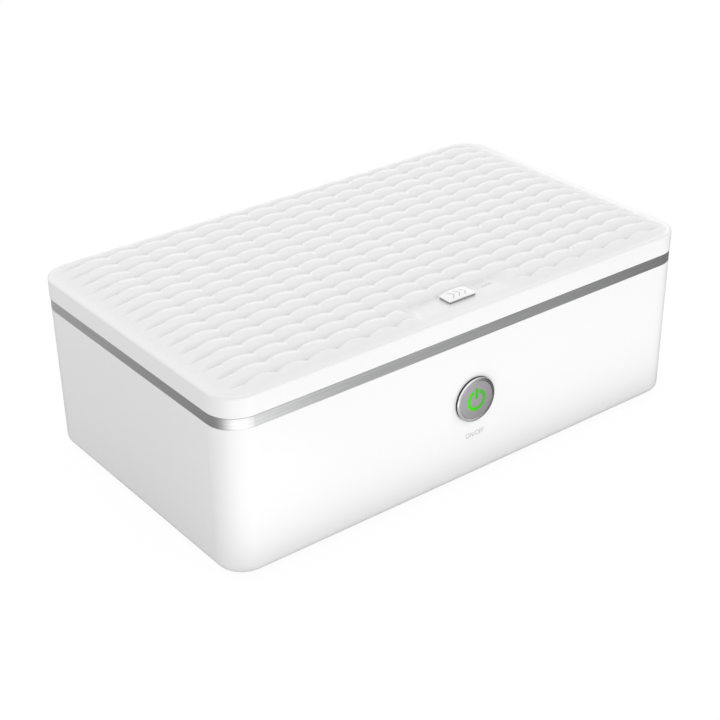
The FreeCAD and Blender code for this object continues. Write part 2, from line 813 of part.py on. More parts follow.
# Power inlet: round socket through the rear wall, held by a nut. Its lead is a loose one.
inlet_face = front_seat + s.inlet_flange_wall
inlet_end = front_seat - s.inlet_length
inlet = new_body("power_inlet")
outline = new_sketch(inlet, "XY_Plane", 0)
draw_outline(
    outline,
    (s.inlet_bore, inlet_face),
    (s.inlet_flange, inlet_face),
    (s.inlet_flange, front_seat),
    (s.inlet_barrel, front_seat),
    (s.inlet_barrel, inlet_end),
    (0, inlet_end),
    (0, inlet_face - s.inlet_flange_wall),
    (s.inlet_pin, inlet_face - s.inlet_flange_wall),
    (s.inlet_pin, inlet_face - s.inlet_bore_depth),
    (s.inlet_bore, inlet_face - s.inlet_bore_depth),
)
revolve(inlet, outline)
bind(inlet, x=inlet_x, z=s.inlet_z)
node("power_inlet", inlet)
nut_start = cavity_depth / 2 - s.inlet_nut_wall
nut_blank = doc.addObject("Part::Prism", "nut_blank")
nut_blank.Polygon = 6
nut_blank.Placement.Rotation = TURN["Y"]
bind(nut_blank, x=inlet_x, y=nut_start, z=s.inlet_z, Circumradius=s.inlet_nut_radius, Height=s.inlet_nut_wall)
nut_hole = rod(inlet_x, nut_start - 1, s.inlet_z, s.inlet_barrel + s.screw_gap, s.inlet_nut_wall + 2, "Y")
node("inlet_nut", cut(nut_blank, nut_hole))

# Push button: chrome bezel with a collar through the wall, nut, barrel with its spring, cap and lit mark.
bezel_face = -front_reach
collar_end = -front_seat + s.collar_length
bezel = new_body("button_bezel")
outline = new_sketch(bezel, "XY_Plane", 0)
recess_radius = s.button_head_radius + s.button_gap
recess_floor = bezel_face + s.button_sink + s.button_head + s.button_travel + s.seat_gap
draw_outline(
    outline,
    (recess_radius, bezel_face + s.bezel_lip),
    (recess_radius + s.bezel_lip, bezel_face),
    (s.bezel_radius - s.bezel_bevel, bezel_face),
    (s.bezel_radius, bezel_face + s.bezel_bevel),
    (s.bezel_radius, -front_seat),
    (s.bezel_collar, -front_seat),
    (s.bezel_collar, collar_end),
    (s.bezel_bore, collar_end),
    (s.bezel_bore, recess_floor),
    (recess_radius, recess_floor),
)
revolve(bezel, outline)
bind(bezel, z=button_z)
node("button_bezel", bezel)
nut_blank = doc.addObject("Part::Prism", "nut_blank")
nut_blank.Polygon = 6
nut_blank.Placement.Rotation = TURN["Y"]
bind(nut_blank, y=-cavity_depth / 2, z=button_z, Circumradius=s.bezel_nut_radius, Height=s.bezel_nut_wall)
nut_hole = rod(0, -cavity_depth / 2 - 1, button_z, s.bezel_collar + s.screw_gap, s.bezel_nut_wall + 2, "Y")
node("bezel_nut", cut(nut_blank, nut_hole))

button_face = bezel_face + s.button_sink
button_back = button_face + s.button_thick
barrel_face = bezel_face + s.barrel_front
barrel_end = barrel_face + s.barrel_length
barrel = new_body("switch_barrel")
outline = new_sketch(barrel, "XY_Plane", 0)
stem_bore = s.button_stem + s.seat_gap
draw_outline(
    outline,
    (stem_bore, barrel_face),
    (s.bezel_bore, barrel_face),
    (s.bezel_bore, collar_end),
    (s.bezel_collar, collar_end),
    (s.bezel_collar, barrel_end),
    (0, barrel_end),
    (0, barrel_end - s.barrel_length / 4),
    (stem_bore, barrel_end - s.barrel_length / 4),
)
revolve(barrel, outline)
bind(barrel, z=button_z)
node("switch_barrel", barrel)
spring_length = barrel_face - button_back - s.button_travel - s.seat_gap
spring_start = barrel_face - spring_length
spring = rod(0, spring_start, button_z, s.spring_radius, spring_length, "Y")
spring_hole = rod(0, spring_start - 1, button_z, s.spring_radius - s.spring_wire, spring_length + 2, "Y")
node("button_spring", cut(spring, spring_hole))


def power_mark(grow):
    """Ring with a gap at its top and an upright bar in the gap, as a prism behind the button's face."""
    y = button_face
    outer = rod(0, y, button_z, s.mark_radius + grow, s.mark_depth, "Y")
    inner = rod(0, y - 1, button_z, s.mark_radius - s.mark_stroke - grow, s.mark_depth + 2, "Y")
    half_gap = s.mark_gap - grow
    gap = block(-half_gap, y - 1, button_z, 2 * half_gap, s.mark_depth + 2, 2 * s.mark_radius)
    bar_half = s.mark_stroke / 2 + grow
    bar_foot = button_z + s.mark_radius - s.mark_bar + s.mark_stroke / 2 - grow
    bar = block(-bar_half, y, bar_foot, 2 * bar_half, s.mark_depth, s.mark_bar + 2 * grow)
    return group(cut(outer, inner, gap), bar)


cap_head = rod(0, button_face, button_z, s.button_head_radius, s.button_head, "Y")
cap_body = rod(0, button_face + s.button_head, button_z, s.bezel_bore - s.button_gap,
               s.button_thick - s.button_head, "Y")
cap_stem = rod(0, button_back, button_z, s.button_stem, s.button_stem_length, "Y")
node("button_cap", cut(fuse(cap_head, cap_body, cap_stem), power_mark(s.screw_gap)))
node("button_lens", power_mark(size(0)))

# Hinges: a leaf on the case with two outer knuckles, a leaf on the lid with the middle one, and a pin.
barrel_clear = s.hinge_barrel + s.knuckle_gap
middle_half = s.hinge_middle / 2
hinge_half = s.hinge_width / 2
pin_hole_radius = s.hinge_pin + s.pin_gap


def hinge_leaf(x, z_low, height, own_spans, other_spans, z_screw):
    """Plate on the rear face, cut clear of the other leaf's knuckles, with its own knuckles on the axis."""
    plate = block(x - hinge_half, leaf_face - s.leaf_wall, z_low, s.hinge_width, s.leaf_wall, height)
    clear = [rod(x + low - s.knuckle_gap, hinge_y, hinge_z, barrel_clear, high - low + 2 * s.knuckle_gap, "X")
             for low, high in other_spans]
    holes = [rod(x + side * s.leaf_screw_spacing / 2, leaf_face - 2 * s.leaf_wall, z_screw, screw_hole,
                 s.leaf_wall * 3, "Y") for side in (-1, 1)]
    knuckles = [rod(x + low, hinge_y, hinge_z, s.hinge_barrel, high - low, "X") for low, high in own_spans]
    bore = rod(x - s.hinge_width, hinge_y, hinge_z, pin_hole_radius, 2 * s.hinge_width, "X")
    return cut(fuse(cut(plate, *clear, *holes), *knuckles), bore)


outer_spans = [(-hinge_half, -middle_half - s.knuckle_gap), (middle_half + s.knuckle_gap, hinge_half)]
middle_span = [(-middle_half, middle_half)]
base_leaves = [hinge_leaf(x, base_leaf_bottom, s.base_leaf_height - s.hinge_barrel / 4, outer_spans,
                          middle_span, base_leaf_screw_z) for x in hinge_places]
node("base_hinge_leaves", group(*base_leaves))
lid_leaves = [hinge_leaf(x, hinge_z + s.hinge_barrel / 4, s.lid_leaf_height - s.hinge_barrel / 4, middle_span,
                         outer_spans, lid_leaf_screw_z) for x in hinge_places]
pins = [rod(x - hinge_half, hinge_y, hinge_z, s.hinge_pin, s.hinge_width, "X") for x in hinge_places]
node("hinge_pins", group(*pins))
base_leaf_screws = [rear_screw(x, leaf_face, base_leaf_screw_z, s.shell_wall) for x in leaf_screw_xs]
node("base_hinge_screws", group(*base_leaf_screws))

# Strike under the flange for the hook of the latch, with its rivets.
z_strike = z_neck - s.strike_wall
rivet_x = s.strike_length / 2 - 2 * s.rivet_radius - 1
strike = new_body("latch_strike")
outline = new_sketch(strike, "XY_Plane", z_strike)
draw_rectangle(outline, s.strike_length, strike_slot_depth * 2, 0, hook_y)
draw_rectangle(outline, strike_slot_length, strike_slot_depth, 0, hook_y)
for side in (-1, 1):
    draw_circle(outline, s.rivet_radius, side * rivet_x, hook_y)
pad(strike, outline, s.strike_wall)
node("latch_strike", strike)
node("strike_rivets", group(*(rod(side * rivet_x, hook_y, z_strike - 1, s.rivet_radius, s.strike_wall + 1)
                              for side in (-1, 1))))
switch = block(interlock_x - s.reed_length / 2, interlock_y - s.reed_depth / 2, z_neck - s.reed_height,
               s.reed_length, s.reed_depth, s.reed_height)
node("interlock_switch", group(switch))

# Lid frame: moulded skirt and top, with a recess for the raised panel and posts for the reflector.
lid_post_x = lid_inside_length / 2 - s.lid_post_inset
lid_post_y = lid_inside_depth / 2 - s.lid_post_inset - s.lid_post_radius
lid_posts = corners(lid_post_x, lid_post_y)
pillow_columns = ((s.lid_length - 2 * s.weave_margin_x) / s.pillow_length).whole()
pillow_rows = ((s.lid_depth - 2 * s.weave_margin_y) / s.pillow_width).whole()
weave_length = pillow_columns * s.pillow_length + 2 * s.weave_fade_x
weave_depth = pillow_rows * s.pillow_width + 2 * s.weave_fade_y
weave_corner = s.plan_corner - s.lid_wall
slot_length = s.slide_stem_length + s.slide_travel + 2 * s.slot_gap
slot_depth = s.slide_stem_depth + 2 * s.slot_gap

lid = new_body("lid_body")
outline = new_sketch(lid, "XY_Plane", z_lid)
draw_rounded(outline, s.lid_length, s.lid_depth, s.plan_corner)
pad(lid, outline, s.lid_height)
fillet(lid, s.lid_edge_round, lambda edge: lies_at_height(edge, z_top.value))
outline = new_sketch(lid, "XY_Plane", z_lid)
draw_rounded(outline, lid_inside_length, lid_inside_depth, lid_inside_corner)
pocket(lid, outline, s.lid_height - s.lid_top, upward=True)
outline = new_sketch(lid, "XY_Plane", z_reflector_top)
for x, y in lid_posts:
    draw_circle(outline, s.lid_post_radius, x, y)
pad(lid, outline, z_lid_inside - z_reflector_top)
outline = new_sketch(lid, "XY_Plane", z_reflector_top)
for x, y in lid_posts:
    draw_circle(outline, screw_hole, x, y)
pocket(lid, outline, (z_lid_inside - z_reflector_top) * 0.8, upward=True)
outline = new_sketch(lid, "XY_Plane", z_top)
draw_rounded(outline, weave_length + 2 * s.seat_gap, weave_depth + 2 * s.seat_gap, weave_corner)
pocket(lid, outline, s.weave_plate)
outline = new_sketch(lid, "XY_Plane", z_top)
draw_rectangle(outline, slot_length, slot_depth, s.slide_travel / 2, slide_y)
pocket(lid, outline, s.lid_top)
outline = new_sketch(lid, "XZ_Plane", -s.lid_depth / 2)
leaf_top = hinge_z + s.lid_leaf_height + s.seat_gap
for x in hinge_places:
    draw_rectangle(outline, s.hinge_width + 2 * s.knuckle_gap, leaf_top - z_lid, x, (leaf_top + z_lid) / 2)
pocket(lid, outline, s.lid_depth / 2 - leaf_pocket, upward=True)
outline = new_sketch(lid, "XZ_Plane", -s.lid_depth / 2)
for x in leaf_screw_xs:
    draw_circle(outline, screw_hole, x, lid_leaf_screw_z)
pocket(lid, outline, s.lid_wall * 2, upward=True)
barrel_room = [rod(x - hinge_half - s.knuckle_gap, hinge_y, hinge_z, barrel_clear,
                   s.hinge_width + 2 * s.knuckle_gap, "X") for x in hinge_places]
node("lid_frame", cut(lid, *barrel_room))
node("lid_hinge_leaves", group(*lid_leaves))
lid_leaf_screws = [rear_screw(x, leaf_face, lid_leaf_screw_z, s.lid_wall) for x in leaf_screw_xs]
node("lid_hinge_screws", group(*lid_leaf_screws))


# Raised panel: rows of pillows like woven rope. Every pillow is an arch across its row and a lower arch
# along it. The rows end in a crease at the front, fade out at the other three sides and flatten in a pad
# round the slide. Each arch is drawn with a few flat facets, so that the pillows stay light.
def sag(place, count, pitch, depth):
    """Drop below the crown at a place along a row of equal arches that is centred on zero."""
    share = 2 * ((place / pitch + count / 2 + 1e-9) % 1) - 1
    return depth * (share ** 2 + share ** 4) / 2


def ease(start, end, place):
    """0 up to the start, 1 from the end, and a smooth change between."""
    share = min(max((place - start) / (end - start), 0.0), 1.0)
    return share * share * (3 - 2 * share)


def stations(count, pitch, shares, fade, fade_shares):
    """Places of the facet edges: the same shares of every arch, and a few down each faded end."""
    end = count * pitch / 2
    places = [-end + pitch * (index + share) for index in range(count) for share in shares] + [end]
    slope = [end + fade * share for share in fade_shares]
    return [-place for place in reversed(slope)] + places + slope


def facets(first, second, third, fourth):
    """The cell between four corners, as one flat face or else as two triangles."""
    if abs(first.z + third.z - second.z - fourth.z) < 1e-7:
        outlines = [(first, second, third, fourth)]
    elif first.z + third.z > second.z + fourth.z:
        outlines = [(first, second, third), (first, third, fourth)]
    else:
        outlines = [(first, second, fourth), (second, third, fourth)]
    return [Part.Face(Part.makePolygon(list(points) + [points[0]])) for points in outlines]


def weave_shape():
    """The panel: a plate whose top carries the pillows and meets the smooth margin at its edges."""
    columns = int(pillow_columns.value)
    rows = int(pillow_rows.value)
    length = s.pillow_length.value
    width = s.pillow_width.value
    end_x = columns * length / 2
    end_y = rows * width / 2
    pad_x = s.slide_pad_half.value
    pad_y = width - end_y

    def height(x, y):
        pillows = s.pillow_crown.value - sag(x, columns, length, s.pillow_arch.value)
        pillows -= sag(max(y, -end_y), rows, width, s.row_arch.value)
        flat = (1 - ease(pad_x, pad_x + s.slide_pad_fade.value, abs(x))) * (y < pad_y - 1e-6)
        beyond_x = max(abs(x) - end_x, 0) / s.weave_fade_x.value
        beyond_y = max(abs(y) - end_y, 0) / s.weave_fade_y.value
        edge = 1 - ease(0, 1, math.hypot(beyond_x, beyond_y))
        return edge * (pillows * (1 - flat) + s.slide_pad_height.value * flat)

    xs = stations(columns, length, (0.0, 0.2, 0.5, 0.8), s.weave_fade_x.value, (0.33, 0.66, 1.0))
    ys = stations(rows, width, (0.0, 0.13, 0.5, 0.87), s.weave_fade_y.value, (0.35, 0.7, 1.0))
    top = [[Vector(x, y, height(x, y)) for y in ys] for x in xs]
    faces = []
    for near, far in zip(top, top[1:]):
        for index in range(len(ys) - 1):
            faces += facets(near[index], far[index], far[index + 1], near[index + 1])
    low = -s.weave_plate.value
    rims = [top[0], top[-1], [line[0] for line in top], [line[-1] for line in top]]
    for rim in rims:
        wall = [rim[0], rim[-1], Vector(rim[-1].x, rim[-1].y, low), Vector(rim[0].x, rim[0].y, low)]
        wall = rim + wall[2:]
        faces.append(Part.Face(Part.makePolygon(wall + wall[:1])))
    under = [Vector(line[end].x, line[end].y, low) for line, end in ((top[0], 0), (top[-1], 0), (top[-1], -1),
                                                                     (top[0], -1))]
    faces.append(Part.Face(Part.makePolygon(under + under[:1])))
    skin = Part.makeShell(faces)
    skin.sewShape()
    pillows = Part.makeSolid(skin)
    if pillows.Volume < 0:
        pillows.reverse()
    above = s.pillow_crown.value + s.weave_plate.value
    room = rounded_plate(weave_length.value, weave_depth.value, weave_corner.value, low, 2 * above)
    slot = Part.makeBox(slot_length.value, slot_depth.value, 2 * above,
                        Vector(s.slide_travel.value / 2 - slot_length.value / 2,
                               slide_y.value - slot_depth.value / 2, -above))
    return pillows.common(room).cut(slot)


def rounded_plate(length, depth, corner, z, height):
    box = Part.makeBox(length, depth, height, Vector(-length / 2, -depth / 2, z))
    upright = [edge for edge in box.Edges if edge.BoundBox.ZLength > height / 2]
    return box.makeFillet(corner, upright)


weave = doc.addObject("Part::Feature", "weave_panel")
weave.Shape = weave_shape()
bind(weave, z=z_top)
node("weave_panel", weave)

# Lid reflector: polished inner cover with a window under each upper lamp and a slot for the hook.
reflector = new_body("lid_reflector")
outline = new_sketch(reflector, "XY_Plane", z_reflector)
draw_rounded(outline, lid_inside_length - 2 * s.slot_gap, lid_inside_depth - 2 * s.slot_gap,
             lid_inside_corner - s.slot_gap)
for side in (-1, 1):
    draw_rectangle(outline, s.window_length, s.window_width, 0, liner_y + side * s.lamp_spacing / 2)
hook_room = s.slide_travel + s.hook_leg + s.hook_foot + 2 * s.strike_slot_gap
draw_rectangle(outline, hook_room, strike_slot_depth, s.slide_travel / 2, hook_y)
for x, y in lid_posts:
    draw_circle(outline, screw_hole, x, y)
pad(reflector, outline, s.reflector_wall)
node("lid_reflector", reflector)
node("reflector_screws", group(*(screw(x, y, z_reflector, s.reflector_wall + 6) for x, y in lid_posts)))
window_reach = s.window_width / 2 + s.window_lap
windows = [block(-s.window_length / 2 - s.window_lap, liner_y + side * s.lamp_spacing / 2 - window_reach,
                 z_reflector_top, s.window_length + 2 * s.window_lap, 2 * window_reach, s.window_wall)
           for side in (-1, 1)]
node("lamp_windows", group(*windows))
lamp_set("upper", z_reflector_top, liner_y)
magnet = rod(interlock_x, interlock_y, z_reflector_top, s.magnet_radius, s.magnet_height)
node("interlock_magnet", group(magnet))

# Slide: arched knob with three chevrons and a stem through the slot in the lid.
z_pad = z_top + s.slide_pad_height
z_knob = z_pad + s.slide_lift
arch_rise = s.slide_crown - s.slide_end_height
arch_radius = (s.slide_length * s.slide_length / 4 + arch_rise * arch_rise) / (2 * arch_rise)
knob_block = block(-s.slide_length / 2, slide_y - s.slide_depth / 2, z_knob, s.slide_length, s.slide_depth,
                   s.slide_crown)
knob_round = rod(0, slide_y - s.slide_depth, z_knob + s.slide_crown - arch_radius, arch_radius,
                 2 * s.slide_depth, "Y")
knob = common(knob_block, knob_round)
chevron_body = new_body("chevrons")
outline = new_sketch(chevron_body, "XY_Plane", z_knob + s.slide_crown - s.chevron_depth)
for index in (-1, 0, 1):
    tip = index * s.chevron_pitch + s.chevron_pitch / 2
    back = tip - s.chevron_pitch * 0.75
    stroke = s.chevron_pitch * 0.35
    reach = s.slide_depth * 0.28
    draw_outline(outline, (back, slide_y - reach), (back + stroke, slide_y - reach), (tip + stroke, slide_y),
                 (back + stroke, slide_y + reach), (back, slide_y + reach), (tip, slide_y))
pad(chevron_body, outline, s.slide_crown)
bolt_top = z_lid_inside - s.hook_clearance
bolt_low = bolt_top - s.bolt_plate
stem = block(-s.slide_stem_length / 2, slide_y - s.slide_stem_depth / 2, bolt_top, s.slide_stem_length,
             s.slide_stem_depth, z_knob + s.slide_end_height / 2 - bolt_top)
latch_screw_hole = rod(0, slide_y, bolt_top - 1, screw_hole, 6)
node("slide_knob", cut(fuse(cut(knob, chevron_body), stem), latch_screw_hole))

# Latch bolt: plate under the lid's top with a leg and a foot that slides under the strike.
foot_top = z_strike - s.hook_clearance
foot_low = foot_top - s.hook_foot_height
hook_start = -(s.hook_leg + s.hook_foot) / 2
carriage_back = slide_y + s.slide_stem_depth
carriage = block(hook_start - s.bolt_margin, hook_y - s.hook_wall / 2, bolt_low,
                 s.hook_leg + s.hook_foot + 2 * s.bolt_margin,
                 carriage_back - hook_y + s.hook_wall / 2, s.bolt_plate)
leg = block(hook_start, hook_y - s.hook_wall / 2, foot_low, s.hook_leg, s.hook_wall, bolt_low - foot_low)
hook_foot = block(hook_start, hook_y - s.hook_wall / 2, foot_low, s.hook_leg + s.hook_foot, s.hook_wall,
                  s.hook_foot_height)
bolt_hole = rod(0, slide_y, bolt_low - 1, screw_hole, s.bolt_plate + 2)
node("latch_bolt", cut(fuse(carriage, leg, hook_foot), bolt_hole))
node("latch_screw", screw(0, slide_y, bolt_low, s.bolt_plate + 4))

doc.recompute()

for thing in doc.Objects:
    if "Invalid" in thing.State or "Error" in thing.State:
        raise RuntimeError(f"{thing.Label} is not built: {thing.State}")
for thing in nodes:
    if thing.Shape.isNull() or not thing.Shape.isValid() or not thing.Shape.Solids:
        raise RuntimeError(f"{thing.Label} has no valid solid")

os.makedirs("parts", exist_ok=True)
for thing in nodes:
    thing.Shape.exportStep(f"parts/{thing.Label}.step")
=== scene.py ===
"""Dresses a toy sterilizer: a white moulded box with a quilted lid, a brushed band and a lit push button."""
import bpy
import math
import numpy as np
from mathutils import Matrix, Vector


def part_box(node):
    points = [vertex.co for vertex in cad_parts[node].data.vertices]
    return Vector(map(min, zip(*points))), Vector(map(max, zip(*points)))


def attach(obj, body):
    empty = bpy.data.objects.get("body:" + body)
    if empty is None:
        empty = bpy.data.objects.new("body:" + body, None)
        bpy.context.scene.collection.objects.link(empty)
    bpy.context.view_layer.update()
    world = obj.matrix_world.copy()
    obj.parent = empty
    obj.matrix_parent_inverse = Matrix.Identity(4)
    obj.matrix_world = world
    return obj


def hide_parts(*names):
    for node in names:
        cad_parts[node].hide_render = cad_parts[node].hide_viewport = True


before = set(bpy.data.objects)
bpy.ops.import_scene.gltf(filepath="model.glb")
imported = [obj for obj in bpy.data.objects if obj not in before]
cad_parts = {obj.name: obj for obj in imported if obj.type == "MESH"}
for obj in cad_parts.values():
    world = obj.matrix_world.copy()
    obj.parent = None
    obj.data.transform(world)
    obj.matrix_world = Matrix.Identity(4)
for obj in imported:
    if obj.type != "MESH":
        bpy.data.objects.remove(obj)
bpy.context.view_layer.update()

MM = 0.001

# The view. A long lens looks down on the near left corner of the box, tipped slightly to one side, so
# that the lid, the front with its button and the left end all show.
azimuth, elevation, tip = -0.6534, 0.5049, -0.0145
backward = Vector((math.sin(azimuth) * math.cos(elevation),
                   -math.cos(azimuth) * math.cos(elevation),
                   math.sin(elevation)))
level = Vector((0, 0, 1)).cross(backward).normalized()
upward = backward.cross(level)
tipped_right = level * math.cos(tip) + upward * math.sin(tip)
tipped_up = upward * math.cos(tip) - level * math.sin(tip)
camera = bpy.data.objects.new("camera", bpy.data.cameras.new("camera"))
camera.data.lens = 79.0
camera.data.sensor_width = 36.0
turn = Matrix((tipped_right, tipped_up, backward)).transposed().to_4x4()
camera.matrix_world = Matrix.Translation((-0.6563, -0.8474, 0.6389)) @ turn
bpy.context.scene.collection.objects.link(camera)
bpy.context.scene.camera = camera
bpy.context.scene.view_settings.view_transform = "Standard"


# The studio's surroundings. A pale tent lights the box from all round, and the picture, polished metal
# and glass see it as plain white.
class Wire:
    """One output of a shader's nodes, for use in plain expressions."""

    def __init__(self, tree, socket):
        self.tree = tree
        self.socket = socket

    def math(self, operation, first, second):
        node = self.tree.nodes.new("ShaderNodeMath")
        node.operation = operation
        join(self.tree, node.inputs[0], first)
        join(self.tree, node.inputs[1], second)
        return Wire(self.tree, node.outputs[0])

    def __add__(self, other):
        return self.math("ADD", self, other)

    def __radd__(self, other):
        return self.math("ADD", other, self)

    def __sub__(self, other):
        return self.math("SUBTRACT", self, other)

    def __rsub__(self, other):
        return self.math("SUBTRACT", other, self)

    def __mul__(self, other):
        return self.math("MULTIPLY", self, other)

    def __rmul__(self, other):
        return self.math("MULTIPLY", other, self)

    def __or__(self, other):
        return self.math("MAXIMUM", self, other)


def join(tree, socket, value):
    """Link a wire to a socket, or set the socket to a plain value."""
    if isinstance(value, Wire):
        tree.links.new(value.socket, socket)
    else:
        socket.default_value = value


class Nodes:
    """The node tree of a material or of the world."""

    def __init__(self, owner):
        owner.use_nodes = True
        self.tree = owner.node_tree

    def node(self, kind, settings=(), output=0, **inputs):
        """A node's output. Settings come first, and an input's name has _ for each blank."""
        node = self.tree.nodes.new("ShaderNode" + kind)
        for name, value in dict(settings).items():
            if name == "stops":
                for place, (at, color) in enumerate(value):
                    stop = node.color_ramp.elements[place] if place < 2 else node.color_ramp.elements.new(at)
                    stop.position = at
                    stop.color = (*color, 1)
            else:
                setattr(node, name, value)
        for name, value in inputs.items():
            key = int(name[1:]) if name[1:].isdigit() else name.replace("_", " ")
            join(self.tree, node.inputs[key], value)
        return Wire(self.tree, node.outputs[output])

    def seen_plainly(self):
        """1 for what the camera, a reflection or a view through glass sees, and 0 for light on the box."""
        camera_ray = self.node("LightPath", output="Is Camera Ray")
        glossy_ray = self.node("LightPath", output="Is Glossy Ray")
        through_ray = self.node("LightPath", output="Is Transmission Ray")
        return camera_ray | glossy_ray | through_ray


world = bpy.data.worlds.new("studio")
bpy.context.scene.world = world
studio = Nodes(world)
tent = studio.node("Background", Color=(1, 1, 1, 1), Strength=0.98)
white = studio.node("Background", Color=(1, 1, 1, 1), Strength=1.0)
surround = studio.node("MixShader", Fac=studio.seen_plainly(), _1=tent, _2=white)
studio.tree.links.new(surround.socket, studio.tree.nodes["World Output"].inputs["Surface"])

# The floor is a pale sweep that takes the soft shadow under the box. In reflections it shows a pool of
# light before the near corner, and shades of grey to the right and the left that polished metal picks up.
floor_mesh = bpy.data.meshes.new("floor")
floor_mesh.from_pydata([(-6, -6, 0), (6, -6, 0), (6, 6, 0), (-6, 6, 0)], [], [(0, 1, 2, 3)])
floor = bpy.data.objects.new("floor", floor_mesh)
bpy.context.scene.collection.objects.link(floor)
sweep_material = bpy.data.materials.new("sweep")
sweep = Nodes(sweep_material)
paper = sweep.node("BsdfDiffuse", Color=(0.86, 0.86, 0.86, 1))
spot = sweep.node("TexCoord", output="Object")
distance = sweep.node("VectorMath", {"operation": "DISTANCE"}, output="Value", _0=spot, _1=(-0.25, -0.31, 0))
pool = sweep.node("MapRange", {"interpolation_type": "SMOOTHSTEP"}, Value=distance, _1=0.10, _2=0.24, _3=1.05, _4=0.0)
spot_x = sweep.node("SeparateXYZ", Vector=spot)
spot_y = sweep.node("SeparateXYZ", output=1, Vector=spot)
to_right = sweep.node("MapRange", Value=spot_x, _1=-0.12, _2=0.42, _3=0.72, _4=0.17)
to_rear = sweep.node("MapRange", Value=spot_y, _1=0.0, _2=0.36, _3=0.22, _4=0.50)
beside = sweep.node("MapRange", {"interpolation_type": "SMOOTHSTEP"}, Value=spot_y, _1=-0.26, _2=-0.06, _3=0.0, _4=1.0)
mirrored = pool + to_right * (1 - beside) + to_rear * beside
in_mirror = sweep.node("LightPath", output="Is Glossy Ray")
glow = sweep.node("Emission", Color=(1, 1, 1, 1), Strength=1.015 - in_mirror + in_mirror * mirrored)
sweep_mix = sweep.node("MixShader", Fac=sweep.seen_plainly() * 0.93, _1=paper, _2=glow)
sweep.tree.links.new(sweep_mix.socket, sweep.tree.nodes["Material Output"].inputs["Surface"])
floor_mesh.materials.append(sweep_material)


# Three soft boxes: one lies on the floor in front and fills the front of the box, unseen by metal, and a
# wide one hangs over it. A low one far behind only gleams in glossy skins, on the far margins of the lid.
def soft_box(name, place, aim, width, depth, power):
    """A rectangular lamp that faces a point, out of the camera's sight."""
    light = bpy.data.lights.new(name, "AREA")
    light.shape = "RECTANGLE"
    light.size = width
    light.size_y = depth
    light.energy = power
    lamp = bpy.data.objects.new(name, light)
    bpy.context.scene.collection.objects.link(lamp)
    lamp.location = place
    lamp.rotation_mode = "QUATERNION"
    lamp.rotation_quaternion = (Vector(place) - Vector(aim)).to_track_quat("Z", "Y")
    lamp.visible_camera = False
    return lamp


front_box = soft_box("floor_soft_box", (0.26, -0.49, 0.003), (0.26, -0.4899, 1.0), 1.2, 0.68, 2.1)
front_box.visible_glossy = False
soft_box("top_soft_box", (-0.1, 0.2, 2.2), (0, 0, 0.1), 1.6, 1.6, 2.6)
rear_box = soft_box("rear_soft_box", (1.55, 1.98, 1.18), (0, 0, 0.14), 1.7, 0.22, 1.9)
rear_box.visible_diffuse = False


# Case, lid shell and slide are moulded in glossy white ABS from polished tools. Close up the skin shows
# a faint orange peel and the gloss varies slightly.
class Finish(Nodes):
    """A material: one Principled shader, its fixed values, and what varies over the surface."""

    def __init__(self, name, color, **fixed):
        self.material = bpy.data.materials.new(name)
        super().__init__(self.material)
        self.shader = self.tree.nodes["Principled BSDF"]
        self.color = (*color, 1)
        self.feed("Base Color", self.color)
        for key, value in fixed.items():
            self.feed(key.replace("_", " "), value)
        self.material.diffuse_color = self.color

    def feed(self, name, value):
        join(self.tree, self.shader.inputs[name], value)

    def place(self, x=1.0, y=1.0, z=1.0):
        """The point on the piece, in metres, stretched along each axis."""
        point = self.node("TexCoord", output="Object")
        return self.node("Mapping", Vector=point, Scale=(x, y, z))

    def noise(self, where, scale, detail=2.0):
        return self.node("TexNoise", Vector=where, Scale=scale, Detail=detail)

    def blend(self, share, first, second):
        """A colour between two colours."""
        return self.node("Mix", {"data_type": "RGBA"}, output=2, _0=share, _6=first, _7=second)

    def shade(self, share, amount):
        """Base colour that drops by the amount where the share is 1."""
        dark = tuple(channel * (1 - amount) for channel in self.color[:3])
        self.feed("Base Color", self.blend(share, self.color, (*dark, 1)))

    def relief(self, height, depth, strength=1.0):
        """Fine surface relief of the given depth in metres."""
        self.feed("Normal", self.node("Bump", Height=height, Distance=depth, Strength=strength))


def dress(finish, *names):
    """Give CAD pieces a finish."""
    for name in names:
        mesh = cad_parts[name].data
        mesh.materials.clear()
        mesh.materials.append(finish.material)


white_abs = Finish("white_abs", (0.81, 0.81, 0.81), Roughness=0.3, Coat_Weight=0.3, Coat_Roughness=0.06)
cloud = white_abs.noise(white_abs.place(), 14.0, 3.0)
white_abs.shade(cloud, 0.015)
white_abs.feed("Roughness", 0.27 + cloud * 0.06)
white_abs.relief(white_abs.noise(white_abs.place(), 1400.0), 0.00002, 0.25)
dress(white_abs, "outer_shell", "lid_frame")


# Raised panel of the lid, moulded in the same plastic: rows of long pillows like woven rope. Each is an
# arch across its row and a lower one along it. The rows end in a crease at the front, fade out at the
# other three sides and flatten in a pad round the slide.
def make(name, points, faces, body, finish, stands_for=(), slot=None, smooth=True):
    """A mesh piece that rides on a body and may stand for CAD pieces."""
    mesh = bpy.data.meshes.new(name)
    mesh.from_pydata([tuple(point) for point in points], [], [tuple(face) for face in faces])
    mesh.validate()
    mesh.materials.append(finish.material)
    if smooth:
        mesh.polygons.foreach_set("use_smooth", [True] * len(mesh.polygons))
        mesh.set_sharp_from_angle(angle=math.radians(38))
    piece = bpy.data.objects.new(name, mesh)
    bpy.context.scene.collection.objects.link(piece)
    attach(piece, body)
    if stands_for:
        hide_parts(*stands_for)
    return piece


